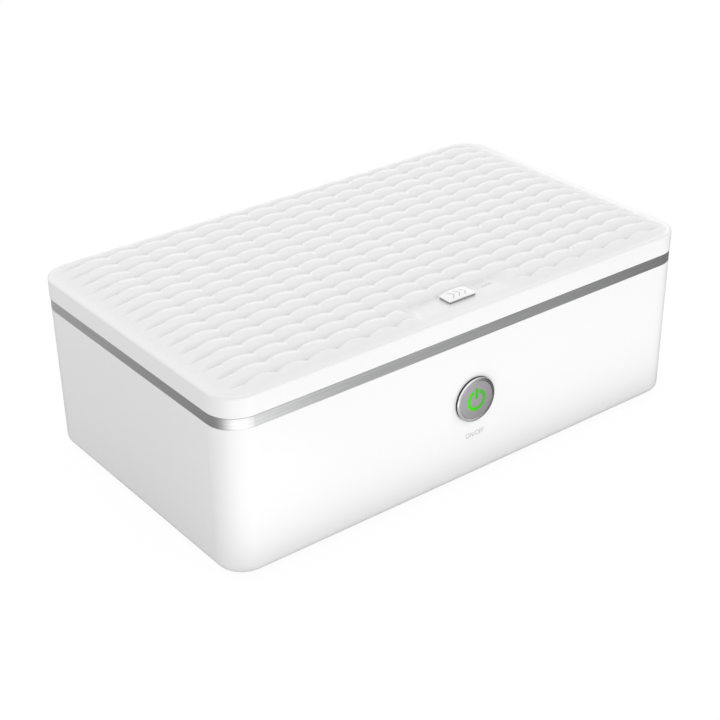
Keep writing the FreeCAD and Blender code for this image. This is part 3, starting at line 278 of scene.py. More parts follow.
pillow_length, pillow_width = 24.73 * MM, 14.55 * MM
columns, rows = 15, 15
crown, row_arch, pillow_arch, edge_level = 6.0 * MM, 4.3 * MM, 1.7 * MM, 1.9 * MM
fade_x, fade_y = 19.0 * MM, 11.0 * MM
lid_low, lid_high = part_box("lid_frame")
lid_y = (lid_low.y + lid_high.y) / 2
slide_low, slide_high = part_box("slide_knob")
slide_x = (slide_low.x + slide_high.x) / 2
slide_y = (slide_low.y + slide_high.y) / 2
pad_height, pad_half, pad_fade = 0.6 * MM, 37 * MM, 18 * MM


def stations(count, pitch, fade, samples, fade_samples):
    """Places across the panel: even steps over the pillows, finer ones in the fade, and a narrow rim."""
    reach = count * pitch / 2
    over = np.linspace(-reach, reach, count * samples + 1)
    edge = reach + fade * np.linspace(0, 1, fade_samples + 1)[1:]
    edge = np.append(edge, [edge[-1] + 0.5 * MM, edge[-1] + 0.6 * MM])
    return np.concatenate([-edge[::-1], over, edge])


def sag(place, count, pitch, fullness):
    """How far a row of arches lies below its crown: 0 on each crown, 1 in the creases between."""
    share = 2 * ((place / pitch + count / 2 + 1e-9) % 1) - 1
    return share ** 2 * (1 - fullness) + share ** 4 * fullness


def ease(start, end, place):
    """0 before start, 1 after end, and a smooth change between."""
    share = np.clip((place - start) / (end - start), 0, 1)
    return share * share * (3 - 2 * share)


xs = stations(columns, pillow_length, fade_x, 14, 16)
ys = stations(rows, pillow_width, fade_y, 14, 12)
grid_x, grid_y = np.meshgrid(xs, ys)
reach_x, reach_y = columns * pillow_length / 2, rows * pillow_width / 2

# The corners of the grid are drawn in to the panel's round corners.
corner = 20 * MM
corner_x, corner_y = xs[-1] - corner, ys[-1] - corner
out_x = np.clip(abs(grid_x) - corner_x, 0, None)
out_y = np.clip(abs(grid_y) - corner_y, 0, None)
draw_in = np.maximum(out_x, out_y) / np.maximum(np.hypot(out_x, out_y), 1e-9)
draw_in[(out_x == 0) | (out_y == 0)] = 1
panel_x = np.sign(grid_x) * (np.minimum(abs(grid_x), corner_x) + out_x * draw_in)
panel_y = np.sign(grid_y) * (np.minimum(abs(grid_y), corner_y) + out_y * draw_in)

across_row = sag(panel_y, rows, pillow_width, 0.4)
across_row = np.where(panel_y < -reach_y, 0.55 + 0.45 * across_row, across_row)
along_row = sag(np.clip(panel_x, -reach_x, reach_x), columns, pillow_length, 0.0)
pillows = crown - pillow_arch * along_row - row_arch * across_row * (0.62 + 0.38 * along_row)
beyond_x = np.clip(abs(panel_x) - reach_x, 0, None) / fade_x
beyond_y = np.clip(abs(panel_y) - reach_y, 0, None) / fade_y
beyond = np.hypot(beyond_x, beyond_y)
level = edge_level * (1 - ease(0.2, 1, beyond))
pillows = level + (pillows - edge_level) * (1 - ease(0, 1, beyond))
flat = 1 - ease(pad_half, pad_half + pad_fade, abs(panel_x))
flat *= 1 - ease(pillow_width - reach_y - 1.3 * MM, pillow_width - reach_y, panel_y)
relief = pillows * (1 - flat) + pad_height * (1 - ease(0.2, 1, beyond)) * flat + 0.02 * MM
relief[0, :] = relief[-1, :] = relief[:, 0] = relief[:, -1] = -0.4 * MM
relief_points = np.stack([panel_x, panel_y + lid_y, relief + lid_high.z], axis=-1)
wide = len(xs)
relief_faces = []
for row in range(len(ys) - 1):
    for column in range(wide - 1):
        over_slot = -5 * MM < xs[column] < 10 * MM and abs(ys[row] + lid_y - slide_y) < 2.3 * MM
        if not over_slot:
            first = row * wide + column
            relief_faces.append((first, first + 1, first + wide + 1, first + wide))
make("quilted_panel", relief_points.reshape(-1, 3), relief_faces, "lid", white_abs,
     stands_for=["weave_panel"], slot="white_plastic")


# Slide on the lid: a small thumb piece moulded in white, arched along its length and lower at the front,
# on a narrower foot coloured dark grey as painted shade under the thumb piece. Three pale chevrons on it point the way
# it locks, and a small word is printed beside.
def strip_solid(outline, low, high):
    """Points and faces of an upright prism. low and high give the height at x, y."""
    count = len(outline)
    points = [(x, y, low(x, y)) for x, y in outline] + [(x, y, high(x, y)) for x, y in outline]
    faces = [tuple(reversed(range(count))), tuple(range(count, 2 * count))]
    faces += [(k, (k + 1) % count, count + (k + 1) % count, count + k) for k in range(count)]
    return points, faces


def gathered(parts):
    """Several pieces' points and faces as one."""
    points = []
    faces = []
    for part_points, part_faces in parts:
        start_at = len(points)
        points += list(part_points)
        faces += [tuple(k + start_at for k in face) for face in part_faces]
    return points, faces


knob_half = (slide_high.x - slide_low.x) / 2
knob_x = slide_x
knob_foot = lid_high.z + pad_height + 0.2 * MM
knob_lip = knob_foot + 1.4 * MM


def knob_top(x, y):
    """Height of the slide's arched top, which falls towards the front."""
    rearward = (y - slide_low.y) / (slide_high.y - slide_low.y)
    arch = 1 - ((x - knob_x) / knob_half) ** 2
    return knob_lip + (0.6 + 0.3 * rearward + (0.5 + 1.0 * rearward) * arch) * MM


def bevelled(points, faces, width, segments=3, angle=30):
    """The same solid with its sharp edges rounded."""
    mesh = bpy.data.meshes.new("blank")
    mesh.from_pydata(points, [], faces)
    blank = bpy.data.objects.new("blank", mesh)
    bpy.context.scene.collection.objects.link(blank)
    bevel = blank.modifiers.new("bevel", "BEVEL")
    bevel.width = width
    bevel.segments = segments
    bevel.angle_limit = math.radians(angle)
    made = finished_mesh(blank)
    bpy.data.objects.remove(blank)
    return made


def finished_mesh(thing):
    """Points and faces of an object with its modifiers worked in."""
    bpy.context.view_layer.update()
    evaluated = thing.evaluated_get(bpy.context.evaluated_depsgraph_get())
    mesh = bpy.data.meshes.new_from_object(evaluated)
    mesh.transform(thing.matrix_world)
    points = [vertex.co.copy() for vertex in mesh.vertices]
    faces = [tuple(face.vertices) for face in mesh.polygons]
    bpy.data.meshes.remove(mesh)
    return points, faces


arc_steps = 14
arc_xs = [slide_low.x + 2 * knob_half * k / arc_steps for k in range(arc_steps + 1)]
front_y, rear_y = slide_low.y, slide_high.y
knob_points = []
for y in (front_y, rear_y):
    knob_points += [(slide_high.x, y, knob_lip)] + [(x, y, knob_top(x, y)) for x in reversed(arc_xs)]
    knob_points += [(slide_low.x, y, knob_lip)]
edge_count = len(knob_points) // 2
knob_faces = [tuple(reversed(range(edge_count))), tuple(range(edge_count, 2 * edge_count))]
knob_faces += [(k, (k + 1) % edge_count, edge_count + (k + 1) % edge_count, edge_count + k) for k in range(edge_count)]
slide_white = Finish("slide_white", (0.90, 0.90, 0.90), Roughness=0.3, Coat_Weight=0.35, Coat_Roughness=0.06)
slide_white.shade(slide_white.noise(slide_white.place(), 60.0), 0.02)
slide_white.relief(slide_white.noise(slide_white.place(), 1400.0), 0.00002, 0.25)
make("slide_thumb_piece", *bevelled(knob_points, knob_faces, 0.45 * MM, 4), "slide", slide_white,
     stands_for=["slide_knob"], slot="white_plastic")

# The foot's dark grey is painted shade: it stands for the shadow in the gap under the thumb piece.
slide_foot_shade = Finish("slide_foot_painted_shade", (0.33, 0.33, 0.335), Roughness=0.45)
slide_foot_shade.relief(slide_foot_shade.noise(slide_foot_shade.place(), 1400.0), 0.00003, 0.4)
foot_parts = []
for half_x, half_y, low, high in ((knob_half - 0.5 * MM, (rear_y - front_y) / 2 - 0.5 * MM, knob_foot, knob_lip + 0.3 * MM),
                                  (4 * MM, 2 * MM, slide_low.z, knob_lip)):
    outline = [(knob_x - half_x, slide_y - half_y), (knob_x + half_x, slide_y - half_y),
               (knob_x + half_x, slide_y + half_y), (knob_x - half_x, slide_y + half_y)]
    foot_parts.append(strip_solid(outline, lambda x, y: low, lambda x, y: high))
make("slide_foot", *gathered(foot_parts), "slide", slide_foot_shade)

print_ink = Finish("grey_print", (0.56, 0.56, 0.57), Roughness=0.5)
print_ink.shade(print_ink.noise(print_ink.place(), 900.0), 0.12)
chevron_reach, chevron_stroke, chevron_pitch = 3.7 * MM, 1.0 * MM, 5.2 * MM
chevron_parts = []
for index in (-1, 0, 1):
    tip_x = knob_x + index * chevron_pitch + 1.4 * MM
    for side in (-1, 1):
        for step in range(4):
            near, far = step / 4, (step + 1) / 4
            near_x, far_x = tip_x - near * 3.4 * MM, tip_x - far * 3.4 * MM
            near_y, far_y = slide_y + side * near * chevron_reach, slide_y + side * far * chevron_reach
            arm = [(near_x, near_y), (near_x + chevron_stroke, near_y), (far_x + chevron_stroke, far_y), (far_x, far_y)]
            arm = arm if side > 0 else arm[::-1]
            chevron_parts.append(strip_solid(arm, lambda x, y: knob_top(x, y) - 0.3 * MM,
                                             lambda x, y: knob_top(x, y) + 0.05 * MM))
make("slide_chevrons", *gathered(chevron_parts), "slide", print_ink, smooth=False)


def lettering(name, words, place, height, rotation, body, finish, width, boldness=0.0):
    """Printed letters as a thin raised film, scaled to a width."""
    curve = bpy.data.curves.new(name, "FONT")
    curve.body = words
    curve.align_x = "CENTER"
    curve.align_y = "CENTER"
    curve.size = 1.0
    curve.extrude = 0.01
    curve.offset = boldness
    sample = bpy.data.objects.new(name, curve)
    bpy.context.scene.collection.objects.link(sample)
    points, faces = finished_mesh(sample)
    bpy.data.objects.remove(sample)
    broad = max(p.x for p in points) - min(p.x for p in points)
    tall = max(p.y for p in points) - min(p.y for p in points)
    spin = Matrix.Rotation(rotation, 4, "X")
    moved = [Vector(place) + spin @ Vector((p.x * width / broad, p.y * height / tall, p.z * 3 * MM)) for p in points]
    return make(name, moved, faces, body, finish, smooth=False)


pad_z = lid_high.z + pad_height + 0.03 * MM
lettering("lock_word", "LOCK", (28 * MM, slide_y + 1.5 * MM, pad_z), 2.5 * MM, 0.0, "lid", print_ink, 10.5 * MM,
          0.02)
arrow = [(19.5 * MM, slide_y + 0.7 * MM), (21 * MM, slide_y + 1.5 * MM), (19.5 * MM, slide_y + 2.3 * MM)]
points, faces = strip_solid(arrow, lambda x, y: pad_z - 0.1 * MM, lambda x, y: pad_z + 0.03 * MM)
make("lock_arrow", points, faces, "lid", print_ink, smooth=False)

# Band round the rim of the case: a stainless strip, brushed along its length, bent round the corners and
# pressed over the neck of the shell.
brushed = Finish("brushed_steel_band", (0.79, 0.795, 0.80), Metallic=1.0, Roughness=0.34, Anisotropic=0.6)
long_lines = brushed.noise(brushed.place(14, 14, 2600), 1.0, 4.0)
brushed.shade(brushed.node("MapRange", Value=long_lines, _1=0.3, _2=0.7), 0.26)
brushed.feed("Roughness", 0.27 + long_lines * 0.14)
brushed.relief(long_lines, 0.00002, 0.4)
dress(brushed, "trim_band")


# Push button on the front: a polished flange with a painted reflection, bright at its left and dark at its right, over
# a black ring that is painted dark reflection round its outer wall, a satin metal cap turned on a lathe, and a power
# sign let into the cap, lit green from behind, with a painted highlight that makes it brightest at its left.
def lathe(profile, centre, axis, steps=96):
    """Points and faces turned from radius and distance along the axis. Closed between its first and last."""
    axis = Vector(axis)
    side = axis.orthogonal().normalized()
    across = axis.cross(side)
    points = []
    for step in range(steps):
        angle = 2 * math.pi * step / steps
        out = side * math.cos(angle) + across * math.sin(angle)
        points += [Vector(centre) + out * radius + axis * along for radius, along in profile]
    count = len(profile)
    faces = []
    for step in range(steps):
        here, after = step * count, (step + 1) % steps * count
        for k in range(count):
            m = (k + 1) % count
            if profile[k][0] > 0 or profile[m][0] > 0:
                faces.append((here + k, here + m, after + m, after + k))
    return points, faces


def rounded_corner(radius_from, along_from, radius_to, along_to, steps=6):
    """A quarter round between two points of a profile, leaving along the axis and arriving across it."""
    arc = [math.pi / 2 * k / steps for k in range(steps + 1)]
    return [(radius_from + (radius_to - radius_from) * (1 - math.cos(a)),
             along_from + (along_to - along_from) * math.sin(a)) for a in arc]


bezel_low, bezel_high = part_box("button_bezel")
button_z = (bezel_low.z + bezel_high.z) / 2
flange = (bezel_high.z - bezel_low.z) / 2
face_centre = Vector((0, bezel_low.y, button_z))
inward = (0, 1, 0)

chrome = Finish("polished_flange", (0.62, 0.63, 0.64), Metallic=1.0, Roughness=0.08)
chrome.feed("Roughness", 0.05 + chrome.noise(chrome.place(), 500.0) * 0.06)
# The flange's base colour is painted reflection: bright at the left, and darkened towards the right where its mirror
# would show dark surroundings.
flange_painted_reflection = Finish("dark_chrome", (0.90, 0.90, 0.91), Metallic=1.0, Roughness=0.08)
flange_painted_reflection.feed("Roughness", 0.05 + flange_painted_reflection.noise(flange_painted_reflection.place(), 500.0) * 0.06)
flange_reflection_x = flange_painted_reflection.node("SeparateXYZ", Vector=flange_painted_reflection.place())
flange_painted_reflection.shade(flange_painted_reflection.node("MapRange", {"interpolation_type": "SMOOTHSTEP"}, Value=flange_reflection_x, _1=-9 * MM, _2=13 * MM), 0.72)
# The black ring behind the flange lip is painted dark reflection: a dark part where the bezel's polished outer wall
# shows dark.
painted_dark_rim = Finish("painted_dark_rim_reflection", (0.02, 0.02, 0.022), Roughness=0.55)
painted_dark_rim.relief(painted_dark_rim.noise(painted_dark_rim.place(), 2500.0), 0.00003, 0.4)
flange_profile = [(15.08 * MM, 2.55 * MM), (15.08 * MM, 0.5 * MM)]
flange_profile += rounded_corner(15.08 * MM, 0.5 * MM, 15.5 * MM, 0.0)
flange_profile += [(16.1 * MM, 0.0)]
flange_profile += [(radius, along) for radius, along in reversed(rounded_corner(flange, 1.0 * MM, 16.1 * MM, 0.0, 8))]
flange_profile += [(16.1 * MM, 1.05 * MM), (16.1 * MM, 3.2 * MM), (14.8 * MM, 3.2 * MM), (14.8 * MM, 13 * MM),
                   (13.6 * MM, 13 * MM), (13.6 * MM, 2.55 * MM)]
points, faces = lathe(flange_profile, face_centre, inward)
make("button_flange", points, faces, "base", flange_painted_reflection, stands_for=["button_bezel"], slot="dark_chrome")
points, faces = lathe([(16.15 * MM, 1.05 * MM), (flange, 1.05 * MM), (flange, 3.3 * MM), (16.15 * MM, 3.3 * MM)],
                      face_centre, inward)
make("button_painted_dark_rim", points, faces, "base", painted_dark_rim)

satin = Finish("satin_cap", (0.76, 0.735, 0.76), Metallic=1.0, Roughness=0.42)
ring_lines = satin.node("TexWave", {"wave_type": "RINGS", "rings_direction": "Y"}, output=1,
                        Vector=satin.place(), Scale=900.0, Distortion=0.6, Detail=2.0)
satin.shade(ring_lines, 0.1)
satin.feed("Roughness", 0.38 + ring_lines * 0.08)
satin.relief(ring_lines, 0.00001, 0.3)
cap_radius, cap_sink = 15.0 * MM, 0.25 * MM
cap_profile = [(0.0, cap_sink), (cap_radius - 0.3 * MM, cap_sink)]
cap_profile += [(cap_radius - 0.1 * MM, cap_sink + 0.08 * MM), (cap_radius, cap_sink + 0.3 * MM)]
cap_profile += [(cap_radius, 1.25 * MM), (13.5 * MM, 1.25 * MM), (13.5 * MM, 4.25 * MM), (3.0 * MM, 4.25 * MM),
                (3.0 * MM, 14 * MM), (0.0, 14 * MM)]
points, faces = lathe(cap_profile, face_centre, inward)
cap = make("button_cap_turned", points, faces, "button", satin, stands_for=["button_cap"], slot="satin_aluminium")

lit = Finish("green_light", (0.015, 0.20, 0.005), Roughness=0.5, Specular_IOR_Level=0.15, Emission_Strength=1.0)
# The glow is painted brightest at the left and fades to grey-green at the right: a painted highlight of light from the
# left.
spread = lit.node("SeparateXYZ", Vector=lit.place())
sign_highlight_share = lit.node("MapRange", Value=spread, _1=-9 * MM, _2=9 * MM, _3=0.0, _4=1.0)
lit.feed("Emission Color", lit.node(
    "ValToRGB", {"stops": [(0.0, (0.05, 0.55, 0.0)), (0.55, (0.05, 0.30, 0.01)), (1.0, (0.09, 0.20, 0.07))]}, Fac=sign_highlight_share))
mark_radius, mark_stroke = 8.6 * MM, 2.9 * MM
sign_front = bezel_low.y + cap_sink - 0.04 * MM
sign_back = sign_front + 0.4 * MM


def upright_prism(outline):
    """A flat sign in the face of the button, from its outline of x, z points."""
    count = len(outline)
    points = [(x, sign_front, z) for x, z in outline] + [(x, sign_back, z) for x, z in outline]
    faces = [tuple(range(count)), tuple(reversed(range(count, 2 * count)))]
    faces += [(k, count + k, count + (k + 1) % count, (k + 1) % count) for k in range(count)]
    return points, faces


def rounded_bar(x_low, x_high, z_low, z_high, steps=8):
    """Outline of an upright bar with round ends."""
    radius = (x_high - x_low) / 2
    middle = (x_low + x_high) / 2
    turn_angles = [math.pi * k / steps for k in range(steps + 1)]
    top = [(middle + radius * math.cos(a), z_high - radius + radius * math.sin(a)) for a in turn_angles]
    bottom = [(middle - radius * math.cos(a), z_low + radius - radius * math.sin(a)) for a in turn_angles]
    return top + bottom


gap_angle = math.radians(32)
ring_middle = mark_radius - mark_stroke / 2
sweep_angles = [math.pi / 2 + gap_angle + (2 * math.pi - 2 * gap_angle) * k / 56 for k in range(57)]
outline = [(mark_radius * math.cos(a), button_z + mark_radius * math.sin(a)) for a in sweep_angles]
end = sweep_angles[-1]
for k in range(1, 8):
    a = end + math.pi * k / 8
    outline.append((ring_middle * math.cos(end) + mark_stroke / 2 * math.cos(a),
                    button_z + ring_middle * math.sin(end) + mark_stroke / 2 * math.sin(a)))
inner = mark_radius - mark_stroke
outline += [(inner * math.cos(a), button_z + inner * math.sin(a)) for a in reversed(sweep_angles)]
start = sweep_angles[0]
for k in range(1, 8):
    a = start + math.pi + math.pi * k / 8
    outline.append((ring_middle * math.cos(start) + mark_stroke / 2 * math.cos(a),
                    button_z + ring_middle * math.sin(start) + mark_stroke / 2 * math.sin(a)))
ring_points, ring_faces = upright_prism(outline[::-1])
bar_points, bar_faces = upright_prism(rounded_bar(-mark_stroke / 2, mark_stroke / 2, button_z + 0.6 * MM,
                                                  button_z + mark_radius + 1.2 * MM)[::-1])
shift = len(ring_points)
make("power_sign", ring_points + bar_points, ring_faces + [tuple(k + shift for k in face) for face in bar_faces],
     "button", lit, stands_for=["button_lens"], slot="green_lens")

label_ink = Finish("pale_grey_print", (0.46, 0.46, 0.47), Roughness=0.5)
label_ink.shade(label_ink.noise(label_ink.place(), 900.0), 0.1)
shell_low, shell_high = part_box("outer_shell")
label_z = 38.3 * MM
lean = math.atan(0.9 / 114)
label_y = shell_low.y + (0.9 - 0.9 * (label_z / MM - 2.5) / 114) * MM
lettering("on_off_words", "ON/OFF", (1.3 * MM, label_y - 0.01 * MM, label_z), 4.2 * MM, math.pi / 2 - lean, "base",
          label_ink, 17.0 * MM)

# Underside: a white cover plate with vent slots, four rubber feet in their seats, and small pan-head
# screws with a cross recess.
matte_white = Finish("matte_white_plastic", (0.74, 0.74, 0.74), Roughness=0.55)
grain = matte_white.noise(matte_white.place(), 1800.0, 3.0)
matte_white.shade(grain, 0.04)
matte_white.relief(grain, 0.00005, 0.5)
dress(matte_white, "base_cover", "board_standoffs")

rubber = Finish("grey_rubber", (0.16, 0.16, 0.165), Roughness=0.75)
rubber_grain = rubber.noise(rubber.place(), 1500.0, 3.0)
rubber.shade(rubber_grain, 0.15)
rubber.relief(rubber_grain, 0.00006, 0.6)


def four_corners(node, radius):
    """Centres of four round pieces that share a node, from its box."""
    low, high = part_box(node)
    return [(x, y) for x in (low.x + radius, high.x - radius) for y in (low.y + radius, high.y - radius)]


foot_radius = 9.0 * MM
foot_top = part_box("feet")[1].z
foot_profile = [(0.0, 0.35 * MM), (5.6 * MM, 0.35 * MM), (6.1 * MM, 0.0), (8.3 * MM, 0.0), (8.8 * MM, 0.25 * MM),
                (foot_radius, 0.8 * MM), (foot_radius, foot_top), (0.0, foot_top)]
feet = gathered([lathe(foot_profile, (x, y, 0), (0, 0, 1), 48) for x, y in four_corners("feet", foot_radius)])
make("rubber_feet", *feet, "base", rubber, stands_for=["feet"], slot="rubber")

zinc = Finish("zinc_plated_steel", (0.55, 0.555, 0.56), Metallic=1.0, Roughness=0.3)
plate_cloud = zinc.noise(zinc.place(), 260.0, 3.0)
zinc.shade(plate_cloud, 0.18)
zinc.feed("Roughness", 0.24 + plate_cloud * 0.16)


def cross_screw(head_radius, head_height, shank_radius, shank_length):
    """Pan-head screw with a cross recess, its head towards +Z and the face under the head at z = 0."""
    profile = [(0.0, head_height), (head_radius * 0.55, head_height * 0.96), (head_radius * 0.85, head_height * 0.75),
               (head_radius, head_height * 0.35), (head_radius, 0.0), (shank_radius, 0.0),
               (shank_radius, -shank_length * 0.85), (shank_radius * 0.4, -shank_length), (0.0, -shank_length)]
    points, faces = lathe(profile, (0, 0, 0), (0, 0, -1), 32)
    points = [Vector((p.x, p.y, -p.z)) for p in points]
    body_mesh = bpy.data.meshes.new("screw")
    body_mesh.from_pydata(points, [], faces)
    screw = bpy.data.objects.new("screw", body_mesh)
    arm, half = head_radius * 0.55, head_radius * 0.14
    outline = [(arm, -half), (arm, half), (half, half), (half, arm), (-half, arm), (-half, half),
               (-arm, half), (-arm, -half), (-half, -half), (-half, -arm), (half, -arm), (half, -half)]
    cross_points, cross_faces = strip_solid(outline, lambda x, y: head_height * 0.3, lambda x, y: head_height * 1.5)
    cross_mesh = bpy.data.meshes.new("cross")
    cross_mesh.from_pydata(cross_points, [], cross_faces)
    cross = bpy.data.objects.new("cross", cross_mesh)
    for thing in (screw, cross):
        bpy.context.scene.collection.objects.link(thing)
    recess = screw.modifiers.new("recess", "BOOLEAN")
    recess.operation = "DIFFERENCE"
    recess.object = cross
    made = finished_mesh(screw)
    for thing in (screw, cross):
        bpy.data.objects.remove(thing)
    return made


def set_screws(name, node, seats, facing, body, head=(2.7 * MM, 1.4 * MM), shank=(1.5 * MM, 3.0 * MM)):
    """The same screw at each seat, its head facing the given way."""
    blank_points, blank_faces = cross_screw(*head, *shank)
    aim = Vector(facing).to_track_quat("Z", "Y").to_matrix()
    parts = [([Vector(seat) + aim @ point for point in blank_points], blank_faces) for seat in seats]
    make(name, *gathered(parts), body, zinc, stands_for=[node], slot="steel")


screw_head = 2.7 * MM
cover_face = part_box("base_cover")[0].z
set_screws("cover_cross_screws", "cover_screws", [(x, y, cover_face) for x, y in four_corners("cover_screws", screw_head)],
           (0, 0, -1), "base")


# Hinges at the back: two steel leaves each, let into the case and the lid, with rolled knuckles round a
# pin. Cross-head screws hold them.
def row_of_four(node, radius, spacing=28 * MM):
    """x of the four screws of two hinges."""
    low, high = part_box(node)
    return [low.x + radius, low.x + radius + spacing, high.x - radius - spacing, high.x - radius]


dress(zinc, "base_hinge_leaves", "lid_hinge_leaves", "hinge_pins")
leaf_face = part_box("base_hinge_screws")[1].y - 1.4 * MM
for screw_node, body, name in (("base_hinge_screws", "base", "lower_leaf_screws"), ("lid_hinge_screws", "lid", "upper_leaf_screws")):
    low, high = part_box(screw_node)
    seats = [(x, leaf_face, (low.z + high.z) / 2) for x in row_of_four(screw_node, screw_head)]
    set_screws(name, screw_node, seats, (0, 1, 0), body)

# Power socket at the back: black moulded barrel with a round bore, a brass contact lining and a bright
# centre pin. A nut inside the wall holds it.
black = Finish("black_plastic", (0.02, 0.02, 0.021), Roughness=0.4)
black_grain = black.noise(black.place(), 1600.0, 3.0)
black.feed("Roughness", 0.34 + black_grain * 0.14)
black.relief(black_grain, 0.00004, 0.5)
inlet_low, inlet_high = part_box("power_inlet")
inlet_centre = Vector(((inlet_low.x + inlet_high.x) / 2, inlet_high.y, (inlet_low.z + inlet_high.z) / 2))
inlet_flange = (inlet_high.x - inlet_low.x) / 2
outward_profile = [(3.2 * MM, 9.5 * MM), (3.2 * MM, 0.5 * MM), (3.7 * MM, 0.0), (inlet_flange - 0.5 * MM, 0.0),
                   (inlet_flange, 0.4 * MM), (inlet_flange, 1.5 * MM), (5.9 * MM, 1.5 * MM), (5.9 * MM, 13.4 * MM),
                   (0.0, 13.4 * MM), (0.0, 9.5 * MM)]
points, faces = lathe(outward_profile, inlet_centre, (0, -1, 0), 64)
make("socket_barrel", points, faces, "base", black, stands_for=["power_inlet"], slot="black_plastic")
brass = Finish("brass_contact", (0.62, 0.45, 0.17), Metallic=1.0, Roughness=0.25)
brass.shade(brass.noise(brass.place(), 700.0), 0.2)
points, faces = lathe([(3.19 * MM, 1.5 * MM), (2.95 * MM, 1.7 * MM), (2.95 * MM, 9.4 * MM), (3.19 * MM, 9.4 * MM)],
                      inlet_centre, (0, -1, 0), 48)
make("socket_lining", points, faces, "base", brass)
points, faces = lathe([(0.0, 1.5 * MM), (0.6 * MM, 1.6 * MM), (1.0 * MM, 2.1 * MM), (1.0 * MM, 9.5 * MM), (0.0, 9.5 * MM)],
                      inlet_centre, (0, -1, 0), 32)
make("socket_pin", points, faces, "base", zinc)
dress(zinc, "inlet_nut", "bezel_nut")

# Chamber: a tub pressed from polished aluminium that throws the light back, with faint rolling lines
# along it, screwed to the posts of the case. Its flange carries the seal of the lid.
mirror_sheet = Finish("polished_aluminium", (0.80, 0.81, 0.82), Metallic=1.0, Roughness=0.16)
rolled = mirror_sheet.noise(mirror_sheet.place(12, 900, 900), 1.0, 4.0)
mirror_sheet.shade(rolled, 0.07)
mirror_sheet.feed("Roughness", 0.12 + rolled * 0.1)
mirror_sheet.relief(rolled, 0.00001, 0.2)
dress(mirror_sheet, "chamber_liner", "lid_reflector")
liner_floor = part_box("liner_screws")[1].z - 1.4 * MM
set_screws("liner_cross_screws", "liner_screws", [(x, y, liner_floor) for x, y in four_corners("liner_screws", screw_head)],
           (0, 0, 1), "base", shank=(1.5 * MM, 8.0 * MM))

silicone = Finish("white_silicone", (0.68, 0.68, 0.67), Roughness=0.6, Subsurface_Weight=0.15, Subsurface_Scale=0.002)
silicone_cloud = silicone.noise(silicone.place(), 300.0, 3.0)
silicone.shade(silicone_cloud, 0.06)
silicone.relief(silicone.noise(silicone.place(), 1500.0), 0.00003, 0.4)
dress(silicone, "lid_seal", "rack_feet")

# Rack: round wire welded into a grid and chromed, on four legs that stand in silicone feet. Toys lie on
# it clear of the lower lamps.
wire = Finish("chromed_wire", (0.66, 0.67, 0.68), Metallic=1.0, Roughness=0.12)
wire_cloud = wire.noise(wire.place(), 180.0, 3.0)
wire.shade(wire_cloud, 0.1)
wire.feed("Roughness", 0.08 + wire_cloud * 0.12)
dress(wire, "toy_rack")

# Lamps, two under the rack and two behind windows in the lid: a thin quartz tube, a coiled electrode on
# two leads at each end, and silicone caps. Spring clips hold them.
quartz = Finish("quartz", (0.97, 0.98, 1.0), Roughness=0.03, Transmission_Weight=1.0, IOR=1.46)
quartz.feed("Roughness", 0.02 + quartz.noise(quartz.place(), 120.0) * 0.04)
tungsten = Finish("electrode_metal", (0.42, 0.42, 0.43), Metallic=1.0, Roughness=0.35)
tungsten.shade(tungsten.noise(tungsten.place(), 1200.0), 0.3)


def wire_along(path, radius, sides=8):
    """Points and faces of a round wire along a path of points."""
    path = [Vector(point) for point in path]
    points = []
    normal = None
    for k, point in enumerate(path):
        ahead = (path[min(k + 1, len(path) - 1)] - path[max(k - 1, 0)]).normalized()
        normal = ahead.orthogonal() if normal is None else normal - ahead * normal.dot(ahead)
        normal = normal.normalized()
        across = ahead.cross(normal)
        points += [point + (normal * math.cos(a) + across * math.sin(a)) * radius
                   for a in (2 * math.pi * m / sides for m in range(sides))]
    faces = [tuple(reversed(range(sides))), tuple(range(len(points) - sides, len(points)))]
    for k in range(len(path) - 1):
        here = k * sides
        faces += [(here + m, here + (m + 1) % sides, here + sides + (m + 1) % sides, here + sides + m) for m in range(sides)]
    return points, faces


def fit_lamps(where, body):
    """Both lamps of one set."""
    low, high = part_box(f"{where}_lamp_tubes")
    radius = (high.z - low.z) / 2
    axis_z = (low.z + high.z) / 2
    length = high.x - low.x
    bore = radius - 0.7 * MM
    tubes, metal, caps = [], [], []
    cap_length, cap_outer = 14 * MM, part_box(f"{where}_lamp_caps")[1].z - axis_z
    for y in (low.y + radius, high.y - radius):
        tube = [(radius, 0.0), (radius, length), (bore, length), (bore, 0.0)]
        tubes.append(lathe(tube, (low.x, y, axis_z), (1, 0, 0), 32))
        for end_x, inward_x in ((low.x, 1), (high.x, -1)):
            coil_x = end_x + inward_x * 19 * MM
            coil = [(coil_x + 0.45 * MM * math.cos(a), y + (a / 40 - 0.6) * 2.2 * MM, axis_z + 0.45 * MM * math.sin(a))
                    for a in (k * 0.75 for k in range(64))]
            metal.append(wire_along(coil, 0.1 * MM, 6))
            for side in (-1, 1):
                lead_y = y + side * 1.25 * MM
                metal.append(wire_along([(end_x + inward_x * 2 * MM, lead_y, axis_z), (coil_x, lead_y, axis_z)], 0.2 * MM))
            profile = [(radius, 7 * MM), (radius, 0.0), (0.0, 0.0), (0.0, -7 * MM), (cap_outer - 0.8 * MM, -7 * MM),
                       (cap_outer - 0.2 * MM, -6.6 * MM), (cap_outer, -5.8 * MM), (cap_outer, 1.0 * MM),
                       (cap_outer - 0.5 * MM, 1.3 * MM), (cap_outer - 0.5 * MM, 2.3 * MM), (cap_outer, 2.6 * MM),
                       (cap_outer, 6.2 * MM), (cap_outer - 0.5 * MM, 7 * MM)]
            caps.append(lathe(profile, (end_x, y, axis_z), (inward_x, 0, 0), 40))
    make(f"{where}_quartz_tubes", *gathered(tubes), body, quartz, stands_for=[f"{where}_lamp_tubes"], slot="lamp_glass")
    make(f"{where}_electrodes", *gathered(metal), body, tungsten)
    make(f"{where}_end_caps", *gathered(caps), body, silicone, stands_for=[f"{where}_lamp_caps"], slot="silicone")


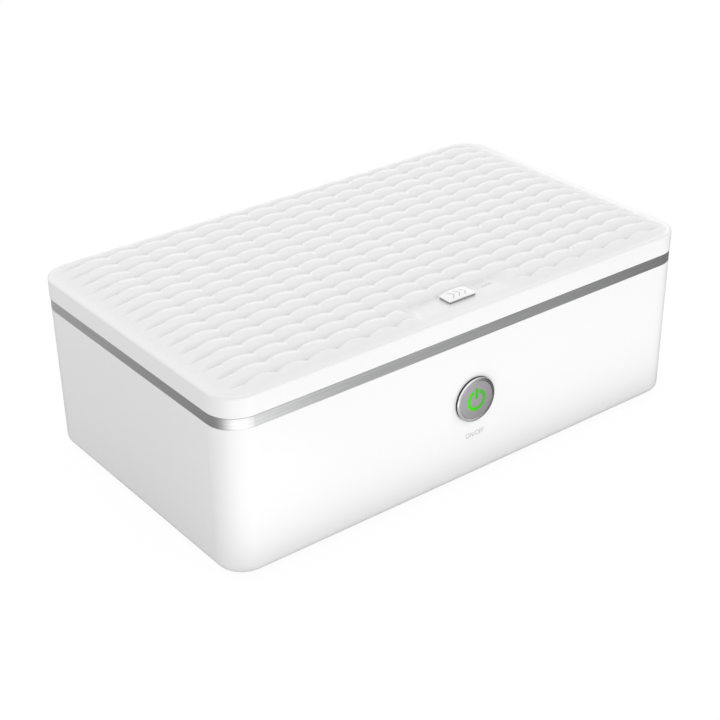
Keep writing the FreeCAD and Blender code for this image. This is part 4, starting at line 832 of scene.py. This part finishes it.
fit_lamps("lower", "base")
fit_lamps("upper", "lid")
dress(zinc, "lower_lamp_clips", "upper_lamp_clips")
dress(quartz, "lamp_windows")
reflector_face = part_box("reflector_screws")[0].z + 1.4 * MM
set_screws("reflector_cross_screws", "reflector_screws",
           [(x, y, reflector_face) for x, y in four_corners("reflector_screws", screw_head)], (0, 0, -1), "lid",
           shank=(1.5 * MM, 7.0 * MM))

# Inside the bay under the chamber: the lamp driver on a green board with soldered tracks, held by screws
# on standoffs of the cover.
board_green = Finish("solder_mask", (0.02, 0.16, 0.06), Roughness=0.35)
tracks = board_green.node("TexBrick", {"offset": 0.5}, Vector=board_green.place(), Scale=120.0, Color1=(0, 0, 0, 1),
                          Color2=(0.2, 0.2, 0.2, 1), Mortar=(1, 1, 1, 1), Mortar_Size=0.03)
board_green.feed("Base Color", board_green.blend(tracks, (0.02, 0.16, 0.06, 1), (0.05, 0.30, 0.12, 1)))
dress(board_green, "driver_board")
dress(black, "driver_parts", "interlock_switch", "switch_barrel")
board_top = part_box("board_screws")[1].z - 1.4 * MM
set_screws("board_cross_screws", "board_screws", [(x, y, board_top) for x, y in four_corners("board_screws", screw_head)],
           (0, 0, 1), "base", shank=(1.5 * MM, 4.3 * MM))

# Button spring behind the cap: music wire wound in five turns, seated on the switch barrel.
spring_low, spring_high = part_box("button_spring")
spring_outer = (spring_high.z - spring_low.z) / 2
wire_radius = 0.35 * MM
turns, steps_per_turn = 5, 20
helix = []
for k in range(turns * steps_per_turn + 1):
    angle = 2 * math.pi * k / steps_per_turn
    along = spring_low.y + wire_radius + (spring_high.y - spring_low.y - 2 * wire_radius) * k / (turns * steps_per_turn)
    helix.append((math.cos(angle) * (spring_outer - wire_radius), along, button_z + math.sin(angle) * (spring_outer - wire_radius)))
points, faces = wire_along(helix, wire_radius)
make("wound_button_spring", points, faces, "base", zinc, stands_for=["button_spring"], slot="steel")

# Latch and lid sensor: a stamped steel hook under the slide, its slotted strike riveted below the flange,
# and a small nickel-plated magnet that tells the switch the lid is shut.
dress(zinc, "latch_bolt", "latch_strike", "strike_rivets", "latch_screw")
dress(chrome, "interlock_magnet")
